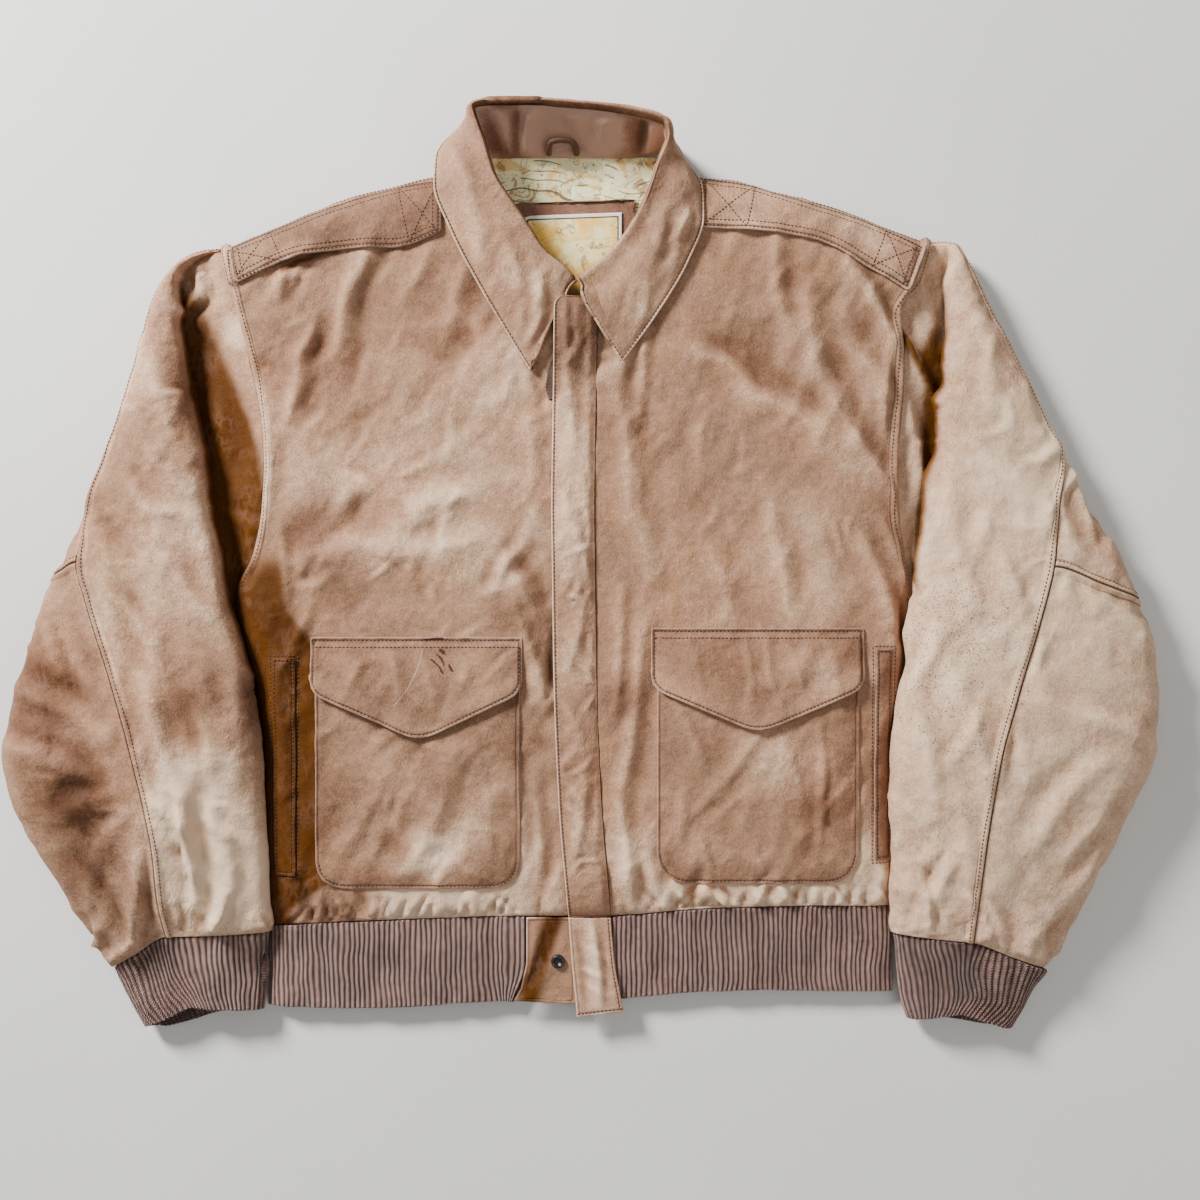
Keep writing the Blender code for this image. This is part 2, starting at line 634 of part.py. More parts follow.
def sleeve(side, word):
    """The two long panels of a sleeve, the outer one cut at the elbow, and its knit cuff."""
    levels = SLEEVE[side]
    sections = [sleeve_section(side, level) for level in levels]
    outer = [points for points, seam in sections]
    seam = sections[0][1]
    last = len(outer[0]) - 1
    inner = wall_inside(outer, WALL * -side)
    for row, points in enumerate(outer):
        inner[row][0] = points[0] + Vector((0, 0, -WALL if levels[row].arm else WALL))
        inner[row][last] = points[last] + Vector((0, 0, WALL))
        for column in range(last - 2, last):
            inner[row][column] = points[column] + Vector((0, 0, WALL))
    inner[0] = [point + Vector((0, -2.0, 0.0)) if 0 < c < last - 2 else inner[0][c]
                for c, point in enumerate(outer[0])]
    front = trimmed(outer, inner, 0, seam, False, True)
    sheet(f"sleeve_{word}_front", front[0], front[1], "leather")
    back = trimmed(outer, inner, seam, last, True, True)
    elbow = ELBOW[side]
    upper = [grid[:elbow + 1] for grid in back]
    lower = [[list(row) for row in grid[elbow:]] for grid in back]
    cut_row(lower[0], lower[1], SEAM)
    sheet(f"sleeve_{word}_back_upper", upper[0], upper[1], "leather")
    sheet(f"sleeve_{word}_back_lower", lower[0], lower[1], "leather")
    return outer[-1]


def cuff(side, word, sleeve_end):
    """A rib knit cuff, from the sleeve's end to the wrist."""
    start = [point + Vector((0, -SEAM * 2, 0)) for point in sleeve_end[:-1]]
    outer = [start] + [sleeve_section(side, level)[0][:-1] for level in CUFF[side]]
    looped = [row + row[:1] for row in outer]
    inner = []
    for r, row in enumerate(outer):
        line = []
        for c, point in enumerate(row):
            before, after = outer[max(r - 1, 0)][c], outer[min(r + 1, len(outer) - 1)][c]
            left, right = row[c - 1], looped[r][c + 1]
            normal = (right - left).cross(after - before).normalized() * -side
            line.append(point - normal * KNIT)
        inner.append(line)
    sheet(f"cuff_{word}", outer, inner, "knit", closed=True)


def hem_line(side):
    """The seam between leather and waistband, from the middle to the side."""
    reaches = [reach for reach, y in HEM[side][:-1]] + [BODY[side][0].side - SEAM / 2]
    return [(side * reach, between(HEM[side], reach)) for reach in reaches]


def foot_line(side):
    """The waistband's lower edge, from the middle to the side."""
    reaches = [reach for reach, y in KNIT_FOOT[side][:-1]] + [BODY[side][0].side - SEAM / 2]
    return [(side * reach, between(KNIT_FOOT[side], reach)) for reach in reaches]


def back_panel():
    """The back, flat on the floor from the waistband to the shoulders."""
    outline = []
    for side in (RIGHT, LEFT):
        run = [(side * (level.side - SEAM / 2), level.y) for level in BODY[side][1:]]
        hem = [(x, y + SEAM / 2) for x, y in hem_line(side)]
        line = [(side * reach, y) for reach, y in reversed(SHOULDER[side][:-1])]
        half = (hem[1:] if side == LEFT else hem) + run + line
        outline += half if side == LEFT else []
        if side == RIGHT:
            right_half = half
    outline += list(reversed(right_half))
    bm = bmesh.new()
    base = bm.faces.new([bm.verts.new(Vector((x, y, 0)) * MM) for x, y in outline])
    raised = bmesh.ops.extrude_face_region(bm, geom=[base], use_keep_orig=True)
    tops = [item for item in raised["geom"] if isinstance(item, bmesh.types.BMVert)]
    bmesh.ops.translate(bm, vec=Vector((0, 0, WALL)) * MM, verts=tops)
    add_object("back", bm, "leather")


def waistband(side, word, front):
    """A rib knit band under one front, with its upper edge on the front's own hem."""
    hem = front[0]
    near = BAND_BY_TAB[-1][1] if side == RIGHT else BAND_LEFT_END + SEAM
    shares = [index for index, point in enumerate(hem) if abs(point.x) > near]
    reaches = [abs(hem[index].x) for index in shares] + [near + SEAM]
    outer = []
    for share, sink in BAND_SINK:
        row = []
        for reach in reaches:
            top = between(HEM[side], reach) - SEAM / 2
            foot = between(KNIT_FOOT[side], reach)
            edge_x, edge, full = body_at(side, BODY[side][0].y)
            height = (edge + 1) + (full + 1 - edge) * round_over((edge_x - reach) / SIDE_ROUND)
            height = max(height - sink * min(1.0, (edge_x - reach) / SIDE_ROUND), KNIT * 2 + SEAM)
            y = top + (foot - top) * share
            if side == RIGHT and reach == reaches[-1]:
                reach = between(BAND_BY_TAB, y) + SEAM
            row.append(Vector((side * reach, y, height)))
        outer.append(row)
    sheet(f"waistband_{word}", outer, lowered(outer, KNIT), "knit")


def waistband_back():
    """The band behind, flat on the floor."""
    top = [(x, y - SEAM / 2) for x, y in list(reversed(hem_line(RIGHT)))[:-1] + hem_line(LEFT)]
    foot = list(reversed(foot_line(LEFT)))[:-1] + foot_line(RIGHT)
    bm = bmesh.new()
    base = bm.faces.new([bm.verts.new(Vector((x, y, 0)) * MM) for x, y in top + foot])
    raised = bmesh.ops.extrude_face_region(bm, geom=[base], use_keep_orig=True)
    tops = [item for item in raised["geom"] if isinstance(item, bmesh.types.BMVert)]
    bmesh.ops.translate(bm, vec=Vector((0, 0, KNIT)) * MM, verts=tops)
    add_object("waistband_back", bm, "knit")


def wind_flap():
    """The flap over the zip, down to the hem, and the leather tab that carries it on to the waist."""
    rows = []
    for y in [level.y for level in BODY[RIGHT][:YOKE_START]] + list(FLAP_HEAD):
        y = max(y, FLAP_FOOT)
        left = between(FLAP_EDGE, y)
        over_collar = COLLAR_BULK * round_over((y - 188) / 40)
        row = []
        for share, lift in FLAP_SECTION:
            x = left + (FLAP_WIDTH - SEAM) * share
            row.append(Vector((x, y, front_height(RIGHT, 5, y) + lift + over_collar)))
        rows.append(row)
    sheet("wind_flap", rows, lowered(rows, WALL), "leather")
    tab = []
    for level in TAB_LEFT:
        row = []
        for share in TAB_SHARES:
            slant = TAB_SLANT * share if level is TAB_LEFT[-1] else 0.0
            lip = TAB_LIP if share in (0.0, 1.0) else 0.0
            row.append(Vector((level.left + (level.width - SEAM) * share, level.y + slant, level.z - lip)))
        tab.append(row)
    sheet("tab_left", tab, lowered(tab, WALL), "leather")


def waist_tab():
    """The leather end of the right waistband, which carries the snap."""
    outer = []
    for y in (-290, -310, -345, -390):
        outer.append([Vector((x, y, TAB_RIGHT_Z)) for x in (-70, -40, 0)])
    piece = sheet("tab_right", outer, lowered(outer, WALL), "leather")
    cut_to(piece, TAB_RIGHT)


def snap():
    """The snap's socket: a turned ring with a dished middle."""
    bm = bmesh.new()
    x, y = SNAP_PLACE
    foot = TAB_RIGHT_Z + SEAM
    line = [bm.verts.new(Vector((x + reach, y, foot + height)) * MM) for reach, height in SNAP_SECTION]
    edges = [bm.edges.new(pair) for pair in zip(line, line[1:])]
    bmesh.ops.spin(bm, geom=line + edges, cent=Vector((x, y, 0)) * MM, axis=(0, 0, 1),
                   angle=math.tau, steps=16, use_merge=True)
    bmesh.ops.remove_doubles(bm, verts=bm.verts[:], dist=0.01 * MM)
    rim = [edge for edge in bm.edges if edge.is_boundary]
    bmesh.ops.holes_fill(bm, edges=rim, sides=0)
    add_object("snap", bm, "snap_metal")


def collar():
    """The collar's fall, from inside its roll to its outer edge."""
    outer = []
    for index, station in enumerate(COLLAR):
        roll = Vector((station.roll_x, station.roll_y, station.roll_z))
        out = Vector((station.out_x, station.out_y, station.out_z))
        ahead = COLLAR[min(index + 1, len(COLLAR) - 1)]
        behind = COLLAR[max(index - 1, 0)]
        run = Vector((ahead.roll_x - behind.roll_x, ahead.roll_y - behind.roll_y, 0)).normalized()
        inwards = Vector((run.y, -run.x, 0))
        lip = roll + inwards * 3.0 - Vector((0, 0, ROLL_DROP if 1 < index < len(COLLAR) - 2 else 3.0))
        crown = Vector((0, 0, 1.0))
        shoulder = roll - inwards * 4.0 - Vector((0, 0, 1.2))
        outer.append([lip, roll, shoulder.lerp(out, 0.12), roll.lerp(out, 0.4) + crown * 2.5,
                      roll.lerp(out, 0.72) + crown * 1.5, out])
    inner = wall_inside(outer, -COLLAR_WALL)
    sheet("collar", outer, inner, "leather")
    collar_stand()


def collar_stand():
    """The upright band inside the collar, from its roll down to the neck seam."""
    outer = []
    for index, station in enumerate(COLLAR[4:-4], start=4):
        ahead, behind = COLLAR[index + 1], COLLAR[index - 1]
        run = Vector((ahead.roll_x - behind.roll_x, ahead.roll_y - behind.roll_y, 0)).normalized()
        inwards = Vector((run.y, -run.x, 0))
        roll = Vector((station.roll_x, station.roll_y, station.roll_z))
        top = roll + inwards * 3.6 - Vector((0, 0, ROLL_DROP + 2.4))
        behind_neck = max(0.0, min(1.0, (station.roll_y - 352) / 30))
        side_foot = Vector((roll.x, roll.y, max(front_height(RIGHT, abs(roll.x) + 2, roll.y), 30) + 3.0))
        seam_x = station.roll_x * 0.93
        neck_foot = Vector((seam_x, NECK_SEAM_Y, NECK_SEAM_Z + 1.0))
        foot = side_foot.lerp(neck_foot, behind_neck)
        middle = top.lerp(foot, 0.5) + Vector((0, 0, -1.5 * behind_neck))
        outer.append([foot, middle, top])
    sheet("collar_stand", outer, wall_inside(outer, -STAND_WALL), "dark_leather")


def lining_point(x, y, lift=0.0):
    """A point on the sloping inside of the back, seen through the neck."""
    return Vector((x, y, between(LINING_SLOPE, y) + lift))


def flat_piece(name, outline, lift, thickness, finish):
    """A piece with a drawn outline, lying on the lining."""
    bm = bmesh.new()
    base = bm.faces.new([bm.verts.new(lining_point(x, y, lift) * MM) for x, y in outline])
    raised = bmesh.ops.extrude_face_region(bm, geom=[base], use_keep_orig=True)
    tops = [item for item in raised["geom"] if isinstance(item, bmesh.types.BMVert)]
    bmesh.ops.translate(bm, vec=Vector((0, 0, thickness)) * MM, verts=tops)
    return add_object(name, bm, finish)


def neck_inside():
    """The lining inside the neck, and the patch on it with its leather border."""
    flat_piece("neck_lining", NECK_LINING, 0.0, LINING, "lining")
    lift = LINING + 0.3
    left, right, far, fall, band, length, foot = PATCH.values()
    inner_left, inner_right = left + band, right - band
    flat_piece("neck_patch_border", [
        (left, far - fall), (right, far), (right, far - length), (inner_right, far - foot),
        (inner_right, far - band), (inner_left, far - fall - band), (inner_left, far - foot),
        (left, far - length)], lift, BORDER_THICK, "dark_leather")
    inner_left, inner_right, top = inner_left + SEAM, inner_right - SEAM, far - band - SEAM
    shoulder = far - length - SEAM
    flat_piece("neck_patch", [(inner_left, top - fall), (inner_right, top), (inner_right, shoulder)]
               + PATCH_POINT + [(inner_left, shoulder)], lift, LINING, "patch")


def hanger_loop():
    """The short loop at the back of the neck, standing just off the stand."""
    path = curve_points(LOOP_PATH)
    curve = bpy.data.curves.new("hanger_loop", "CURVE")
    curve.dimensions = "3D"
    curve.bevel_depth = LOOP_RADIUS * MM
    curve.bevel_resolution = 2
    curve.use_fill_caps = True
    spline = curve.splines.new("POLY")
    spline.points.add(len(path) - 1)
    for point, place in zip(spline.points, path):
        point.co = (*(place * MM), 1.0)
    curve.materials.append(material("dark_leather"))
    loop = bpy.data.objects.new("hanger_loop", curve)
    bpy.context.scene.collection.objects.link(loop)


def curve_points(places, steps=3):
    """A smooth line through a few places."""
    points = [Vector(place) for place in places]
    padded = [points[0]] + points + [points[-1]]
    line = []
    for before, start, end, after in zip(padded, padded[1:], padded[2:], padded[3:]):
        for step in range(steps):
            t = step / steps
            bend = 2 * before - 5 * start + 4 * end - after
            twist = 3 * start - before - 3 * end + after
            line.append(0.5 * (2 * start + (end - before) * t + bend * t * t + twist * t ** 3))
    line.append(points[-1])
    return line


def build():
    """Make every piece of the jacket."""
    clear_scene()
    back_panel()
    waistband_back()
    fronts = {}
    for side, word in ((RIGHT, "right"), (LEFT, "left")):
        rows = front_rows(side)
        fronts[side] = rows
        inner = wall_inside(rows, WALL * -side, upright=(0, len(COLUMN_SHARES) - 1))
        sheet(f"front_{word}", rows, inner, "leather")
        waistband(side, word, rows)
        cuff(side, word, sleeve(side, word))
        first = SEAM
        second = first + TRIM + SEAM
        laid_on(f"pocket_{word}", rows, first, TRIM, pocket_outline(**POCKET[side]))
        laid_on(f"pocket_flap_{word}", rows, second, TRIM, flap_outline(**POCKET_FLAP[side]))
        laid_on(f"welt_{word}", rows, first, TRIM, oblong(**WELT[side]))
        laid_on(f"epaulette_{word}", rows, first, TRIM, [(side * reach, y) for reach, y in EPAULETTE[side]])
    wind_flap()
    laid_on("zip", fronts[RIGHT], SEAM, ZIP_TAPE, ZIP_SLIVER, "zip_tape")
    waist_tab()
    snap()
    collar()
    neck_inside()
    hanger_loop()


build()
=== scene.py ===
"""The looks of a worn leather flying jacket, which lies on its back with both sleeves at its sides.

Sizes are in millimetres and become metres when a mesh is made. +X runs to the wearer's left sleeve,
+Y to the collar and +Z up from the floor. "Right" and "left" are the wearer's.

Each piece of cloth starts as a coarse grid of points, the same as in the solids: a row for each level
up the jacket and a column for each place across it. The grid is read again at a fine spacing, its folds
and seams are pressed into it along the cloth's normal, and it becomes a wall with rounded edges.
"""
import math
from collections import namedtuple

import bmesh
import bpy
import numpy as np
from mathutils import Matrix, Vector
from mathutils.bvhtree import BVHTree


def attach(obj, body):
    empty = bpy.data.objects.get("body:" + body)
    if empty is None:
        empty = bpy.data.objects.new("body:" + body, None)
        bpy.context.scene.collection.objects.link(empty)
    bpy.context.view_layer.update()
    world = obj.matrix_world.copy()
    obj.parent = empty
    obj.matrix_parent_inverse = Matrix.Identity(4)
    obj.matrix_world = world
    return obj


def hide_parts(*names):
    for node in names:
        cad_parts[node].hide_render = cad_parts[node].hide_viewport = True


MM = 0.001
RIGHT, LEFT = -1, 1

# Cloth
WALL = 2.0            # leather with its lining
KNIT = 3.0            # rib knit, doubled
LINING = 1.0
ZIP_TAPE = 1.0
STRAP = 2.4           # an epaulette, doubled
TRIM = 1.6            # one extra layer of leather: pockets, flaps and straps
SEAM = 0.4            # gap between two pieces at a seam
FLOOR_SHEET = WALL + SEAM     # top of what lies on the floor, with its gap

# Body
SIDE_ROUND = 32.0     # how far in from the side the front reaches its full height
SHOULDER_ROUND = 34.0
NECK_HALF = 96.0      # half the width between the shoulders' inner ends
FLAP_WIDTH = 37.0     # wind flap over the zip
FLAP_OVER_RIGHT = 12.0    # the right front runs this far under the wind flap
NECK_BLEND = 30.0     # width over which a front turns from the shoulder's drop to the open neck
NECK_RISE = 7.0       # how much the fronts rise towards the neck
NECK_RISE_PLACE = (60, 320)
NECK_RISE_REACH = 130.0
# Across a front, from the side to the closing edge: share of its width
COLUMN_SHARES = (0.0, 0.018, 0.05, 0.10, 0.17, 0.26, 0.37, 0.49, 0.62, 0.75, 0.88, 1.0)

# Sleeve tubes
TUCK = 18.0           # how far a tube's foot stands in from its widest line
WIDEST = 0.44         # height of that line, as a share of the tube's height
UNDER_SEAM = 20.0     # the underarm seam lies this far in from the inner fold
BOXINESS = 0.72       # below 1, the tube's top is flatter than a half round
FRONT_COLUMNS = 5     # places across the tube on the body side of the seam on top
BACK_COLUMNS = 3      # and on the outer side


def rows_of(kind, *rows):
    """A table whose rows are all of one kind."""
    return [kind(*row) for row in rows]


BodyLevel = namedtuple("BodyLevel", "y side edge full")
# y: height up the body; side: distance of the side or armhole from the middle;
# edge: height of the cloth there; full: height of the cloth well inside
BODY = {
    RIGHT: rows_of(
        BodyLevel, (-300, 270, 4.4, 13), (-288, 270, 4.4, 19), (-260, 271, 4.4, 23), (-215, 273, 4.4, 24),
        (-165, 273, 4.4, 24.5), (-120, 276, 4.4, 25), (-80, 284, 4.4, 25.5), (-45, 294, 4.4, 26),
        (-20, 299, 13, 26), (15, 283, 18, 26.5), (55, 275, 21, 27), (95, 273, 22, 27.5),
        (130, 275, 23, 28), (165, 281, 24, 28.5), (195, 288, 24.5, 29), (225, 296, 25, 30),
        (250, 302, 25.5, 31.5), (268, 306.5, 26, 32.5), (277, 309.5, 26, 33), (282, 311, 26, 33)),
    LEFT: rows_of(
        BodyLevel, (-292, 268, 4.4, 13), (-280, 268, 4.4, 19), (-252, 267, 4.4, 23), (-210, 265, 4.4, 24),
        (-165, 266, 4.4, 24.5), (-120, 271, 4.4, 25), (-80, 276, 4.4, 25.5), (-45, 280, 4.4, 26),
        (-15, 285, 13, 26), (18, 280, 18, 26.5), (55, 275, 21, 27), (95, 274.5, 22, 27.5),
        (130, 276, 23, 28), (160, 278.5, 24, 28.5), (190, 279, 24.5, 29), (222, 276, 25, 30),
        (252, 292, 25.5, 31.5), (273, 299, 26, 32.5), (283, 302.5, 26, 33), (288, 304, 26, 33)),
}
YOKE_START = 15       # the first level whose row bends up to the shoulder and the neck

# Shoulder line and front neckline: distance from the middle, and y there
SHOULDER = {
    RIGHT: [(96, 350), (128, 346), (175, 335), (203, 328), (241, 312), (271, 299), (311, 282)],
    LEFT: [(96, 349), (130, 343), (174, 332), (216, 322), (253, 307), (281, 296), (304, 288)],
}
NECKLINE = [(8, 244), (34, 266), (56, 292), (76, 320), (96, 349.5)]
HEM = {
    RIGHT: [(0, -299), (60, -299), (150, -302), (220, -305), (280, -308)],
    LEFT: [(0, -300), (40, -299), (100, -293), (200, -290), (280, -291)],
}
KNIT_FOOT = {
    RIGHT: [(0, -374), (60, -374), (100, -375), (150, -379), (210, -380), (280, -377)],
    LEFT: [(0, -374), (40, -372), (75, -367), (150, -364), (280, -366)],
}

SleeveLevel = namedtuple("SleeveLevel", "y_in y_seam y_out arm fold out seam height valley")
# y_in, y_seam, y_out: level at the body side, at the seam on top and at the outer edge;
# arm: armhole, or None below the armpit; fold: inner edge of the tube; out: its outer edge;
# seam: the long seam on top; height: of the tube; valley: of the cloth between armhole and tube
SLEEVE = {
    RIGHT: rows_of(
        SleeveLevel, (282, 282, 282, 311, 313, 317, 317, 5.5, 4.6),
        (277, 277, 277, 309.5, 321, 333, 333, 19, 12), (268, 268, 268, 306.5, 337, 346, 346, 27, 13),
        (250, 250, 250, 302, 350, 361, 361, 31, 12), (225, 225, 225, 296, 349, 371, 371, 36, 11),
        (195, 195, 195, 288, 343, 379, 379, 39, 10), (165, 165, 165, 281, 336, 388, 388, 41, 9),
        (130, 130, 130, 275, 329, 399, 399, 43, 9), (95, 95, 95, 273, 323, 412, 412, 45, 9),
        (55, 55, 55, 275, 319, 426, 426, 46, 9), (15, 8, -4, 283, 306.5, 453, 427, 48, 9),
        (-20, -22, -28, 299, 303, 465, 419, 50, 9), (-45, -47, -52, None, 296, 472, 411, 51, 9),
        (-80, -80, -82, None, 286, 481, 400, 52, 9), (-120, -120, -120, None, 278, 490, 387, 54, 9),
        (-160, -160, -158, None, 275, 498, 376, 55, 9), (-200, -200, -195, None, 274.5, 492, 367, 53, 9),
        (-240, -240, -240, None, 272.5, 470, 361, 49, 9), (-280, -281, -287, None, 271.5, 440, 359, 42, 9),
        (-311, -313, -343, None, 271, 407, 355, 32, 8)),
    LEFT: rows_of(
        SleeveLevel, (288, 288, 287, 304, 306, 312, 312, 5.5, 4.6),
        (283, 283, 282.5, 302.5, 317, 327, 327, 19, 13), (273, 273, 272, 299, 321.5, 331.5, 331, 28, 15),
        (252, 252, 251, 292, 322, 342, 341, 33, 14), (222, 222, 220, 276, 321, 356, 355, 37, 12),
        (190, 190, 188, 279, 318, 373, 372, 40, 11), (160, 160, 158, 278.5, 314, 388, 387, 42, 10),
        (130, 130, 128, 276, 310, 402, 401, 44, 10), (95, 95, 92, 274.5, 305, 421, 414, 46, 10),
        (55, 57, 53, 275, 298, 442, 407, 47, 10), (18, 29, 20, 280, 293, 460, 404, 49, 10),
        (-15, 4, -24, 285, 289, 481, 400, 51, 9), (-45, -42, -50, None, 282, 491, 388, 52, 9),
        (-80, -79, -82, None, 278, 495, 376, 54, 9), (-120, -120, -120, None, 273, 498, 364, 56, 9),
        (-155, -155, -152, None, 269, 495, 355, 56, 9), (-195, -195, -193, None, 266.5, 479, 349, 53, 9),
        (-237, -237, -238, None, 267, 457, 343, 49, 9), (-277, -281, -290, None, 268, 434, 339, 42, 9),
        (-312, -318, -343, None, 270, 403, 337, 32, 8)),
}
ELBOW = {RIGHT: 10, LEFT: 11}   # the level of the seam across the outer panel
CUFF = {
    RIGHT: rows_of(
        SleeveLevel, (-331, -333, -362, None, 272, 399, 352, 28, 8),
        (-356, -355, -380, None, 273, 390, 345, 26, 7), (-380, -377, -397, None, 276, 381, 334, 24, 7)),
    LEFT: rows_of(
        SleeveLevel, (-338, -340, -357, None, 275, 396, 338, 29, 8),
        (-362, -362, -376, None, 280, 389, 339, 26, 7), (-388, -382, -396, None, 287, 374, 328, 24, 7)),
}

Fold = namedtuple("Fold", "x1 y1 x2 y2 half_width depth")
# The deepest folds of the fronts, each a soft trough between two ends
FRONT_FOLDS = rows_of(
    Fold, (-185, 272, -211, 195, 20, 2.6), (-155, 113, -198, 53, 20, 2.2), (-249, -26, -150, 2, 20, 2.6),
    (-69, -18, -36, -100, 18, 2.2), (103, 182, 245, 90, 20, 2.6), (200, 215, 262, 84, 18, 2.6),
    (242, 20, 262, -30, 18, 3.0), (51, -58, 40, -195, 16, 2.0))
SLEEVE_FOLDS = rows_of(
    Fold, (-474, -101, -395, -144, 18, 4.0), (-404, -15, -386, -93, 18, 3.0),
    (-338, -180, -331, -280, 18, 3.5), (-345, 60, -312, -20, 16, 3.0), (345, 90, 420, 20, 18, 3.0),
    (300, -60, 345, -190, 18, 3.0), (385, -230, 440, -160, 20, 4.0), (300, -285, 320, -240, 14, 3.0))

CollarStation = namedtuple("CollarStation", "roll_x roll_y roll_z out_x out_y out_z")
# Along the collar from the right front, behind the neck, to the left front:
# the line that it rolls over on, and its outer edge
COLLAR = rows_of(
    CollarStation, (-11, 246, 37, -24.5, 213, 33.5), (-15, 252, 39, -43, 172, 32.5),
    (-24, 262, 42, -60, 199, 34), (-33, 273, 44, -86, 242, 38), (-54, 305, 51, -111, 290, 40),
    (-72, 332, 57, -125, 328, 40.5), (-82, 363, 61, -124, 354, 36), (-90, 388, 63, -107, 381, 22),
    (-78, 392, 64, -88, 395, 6), (-42, 392.5, 64, -44, 397, 3), (0, 390, 64, 2, 395, 3),
    (42, 385, 64, 46, 390, 3), (72, 376, 63, 82, 376, 10), (75, 365, 62, 90, 352, 34),
    (66, 341, 59, 105, 325, 41), (54, 309, 53, 106, 300, 41), (36, 281, 46, 92, 262, 38.5),
    (20, 264, 42, 63, 215, 34), (9, 253, 42, 37, 180, 33), (1, 247, 44.5, 5, 228, 45))
COLLAR_WALL = 2.4
STAND_WALL = 1.8
COLLAR_BULK = 7.0     # how much the wind flap rises over the collar's right end
ROLL_DROP = 7.0       # how far the collar turns down inside its roll
NECK_SEAM_Z = 22.0
NECK_SEAM_Y = 357.0

# Outlines of what lies on the fronts, going round from the top inner corner
POCKET = {
    RIGHT: dict(inner=-52, outer=-228, top=-62, bottom=-273, corner=24),
    LEFT: dict(inner=66, outer=240, top=-54, bottom=-269, corner=26),
}
POCKET_FLAP = {
    RIGHT: dict(inner=-50, outer=-232, top=-56, side=-104, tip_x=-138, tip_y=-143),
    LEFT: dict(inner=61, outer=244, top=-48, side=-100, tip_x=153, tip_y=-136),
}
WELT = {
    RIGHT: dict(inner=-245, outer=-265, top=-74, bottom=-262),
    LEFT: dict(inner=254, outer=270, top=-66, bottom=-249),
}
# An epaulette: its corners as distance from the middle, and y
EPAULETTE = {
    RIGHT: [(118, 338), (118, 290), (150, 277), (195, 277), (238, 270), (258, 264),
            (294, 247), (302, 281), (272, 292), (235, 307), (186, 325), (150, 334)],
    LEFT: [(100, 340), (98, 293), (138, 292), (175, 289), (208, 282), (230, 271),
           (281, 240), (296, 280), (252, 301), (196, 319), (150, 334)],
}
# Where the zip's tape looks out beside the wind flap
ZIP_SLIVER = [(-24, 184), (-28, 172), (-30, 158), (-27, 148), (-16, 148), (-16, 184)]
# Across the wind flap: share of its width, and height over the front
FLAP_SECTION = [(0.0, 3.5), (0.12, 4.0), (0.5, 4.0), (0.88, 2.6), (1.0, 1.0)]
FLAP_FOOT = -298.6    # where the wind flap ends at the waist's cross seam
FLAP_HEAD = (210, 221, 229, 234)   # its last levels, over the collar
FLAP_EDGE = [(-386, -4), (-299, -10.5), (-200, -19), (-100, -23), (60, -25), (244, -22)]

TAB_RIGHT = [(-47, -299.6), (-47, -340), (-52, -362), (-58, -372.5), (-30, -374), (-4, -375), (-4, -299.6)]
TAB_RIGHT_Z = 15.2
BAND_BY_TAB = [(-374, 59), (-362, 52), (-340, 47), (-299, 47)]   # y, and the right band's end there
BAND_LEFT_END = 26.4
# Down a waistband: share of its depth, and how far it sinks there
BAND_SINK = [(0.0, 0.0), (0.12, 0.6), (0.55, 1.2), (1.0, 2.0)]

TabLevel = namedtuple("TabLevel", "y left width z")
# The left tab, which carries the wind flap on over the waist
TAB_LEFT = rows_of(
    TabLevel, (-299.4, -10.5, 37.5, 18.2), (-312, -9.6, 37.5, 18.8), (-340, -7.5, 38, 18.4),
    (-365, -5, 40, 18.2), (-386, -3, 41, 17.8))
TAB_SHARES = (0.0, 0.12, 0.5, 0.88, 1.0)
TAB_SLANT = 5.0       # its foot rises this much towards the left
TAB_LIP = 0.6

SNAP_PLACE = (-19.5, -337.5)
# A turned section: distance from the snap's middle, and height
SNAP_SECTION = [(0.0, 0.7), (1.6, 0.75), (2.6, 1.0), (3.0, 2.0), (3.5, 2.6), (4.3, 2.8), (5.2, 2.6),
                (5.8, 2.0), (6.0, 0.0)]

# The lining inside the neck slopes from the neck seam down to the back: y and z
LINING_SLOPE = [(226, 7.0), (357, 20.5)]
NECK_LINING = [(-84, 358.5), (-86, 318), (-66, 285), (-40, 252), (-12, 228), (4, 228),
               (34, 252), (56, 282), (72, 318), (76, 358.5)]
# The patch on it: its leather border's outer corners, and the band's width
PATCH = dict(left=-60, right=47, far=322, fall=3, band=11, length=62)
BORDER_THICK = 1.3
LOOP_PATH = [(-27, 358.5, 28.5), (-26.5, 364, 38), (-24, 369, 44.5), (-15, 370.5, 47),
             (-7, 369, 44.5), (-3.8, 364, 38), (-3, 358.5, 28.5)]
LOOP_RADIUS = 1.9
LOOP_REACH, LOOP_RISE = 0.7, 0.62     # the strap is thicker than its solid, and lies this much lower


def between(table, at):
    """Read a table of (place, value) pairs at a place between its rows, along straight lines."""
    if at <= table[0][0]:
        return table[0][1]
    for (low, first), (high, second) in zip(table, table[1:]):
        if at <= high:
            return first + (second - first) * (at - low) / (high - low)
    return table[-1][1]


def body_at(side, y):
    """The body's side, edge height and full height at any level."""
    rows = BODY[side]
    return [between([(row.y, getattr(row, column)) for row in rows], y)
            for column in ("side", "edge", "full")]


def round_over(share):
    """A quarter round from 0 to 1."""
    share = min(max(share, 0.0), 1.0)
    return math.sqrt(1.0 - (1.0 - share) ** 2)


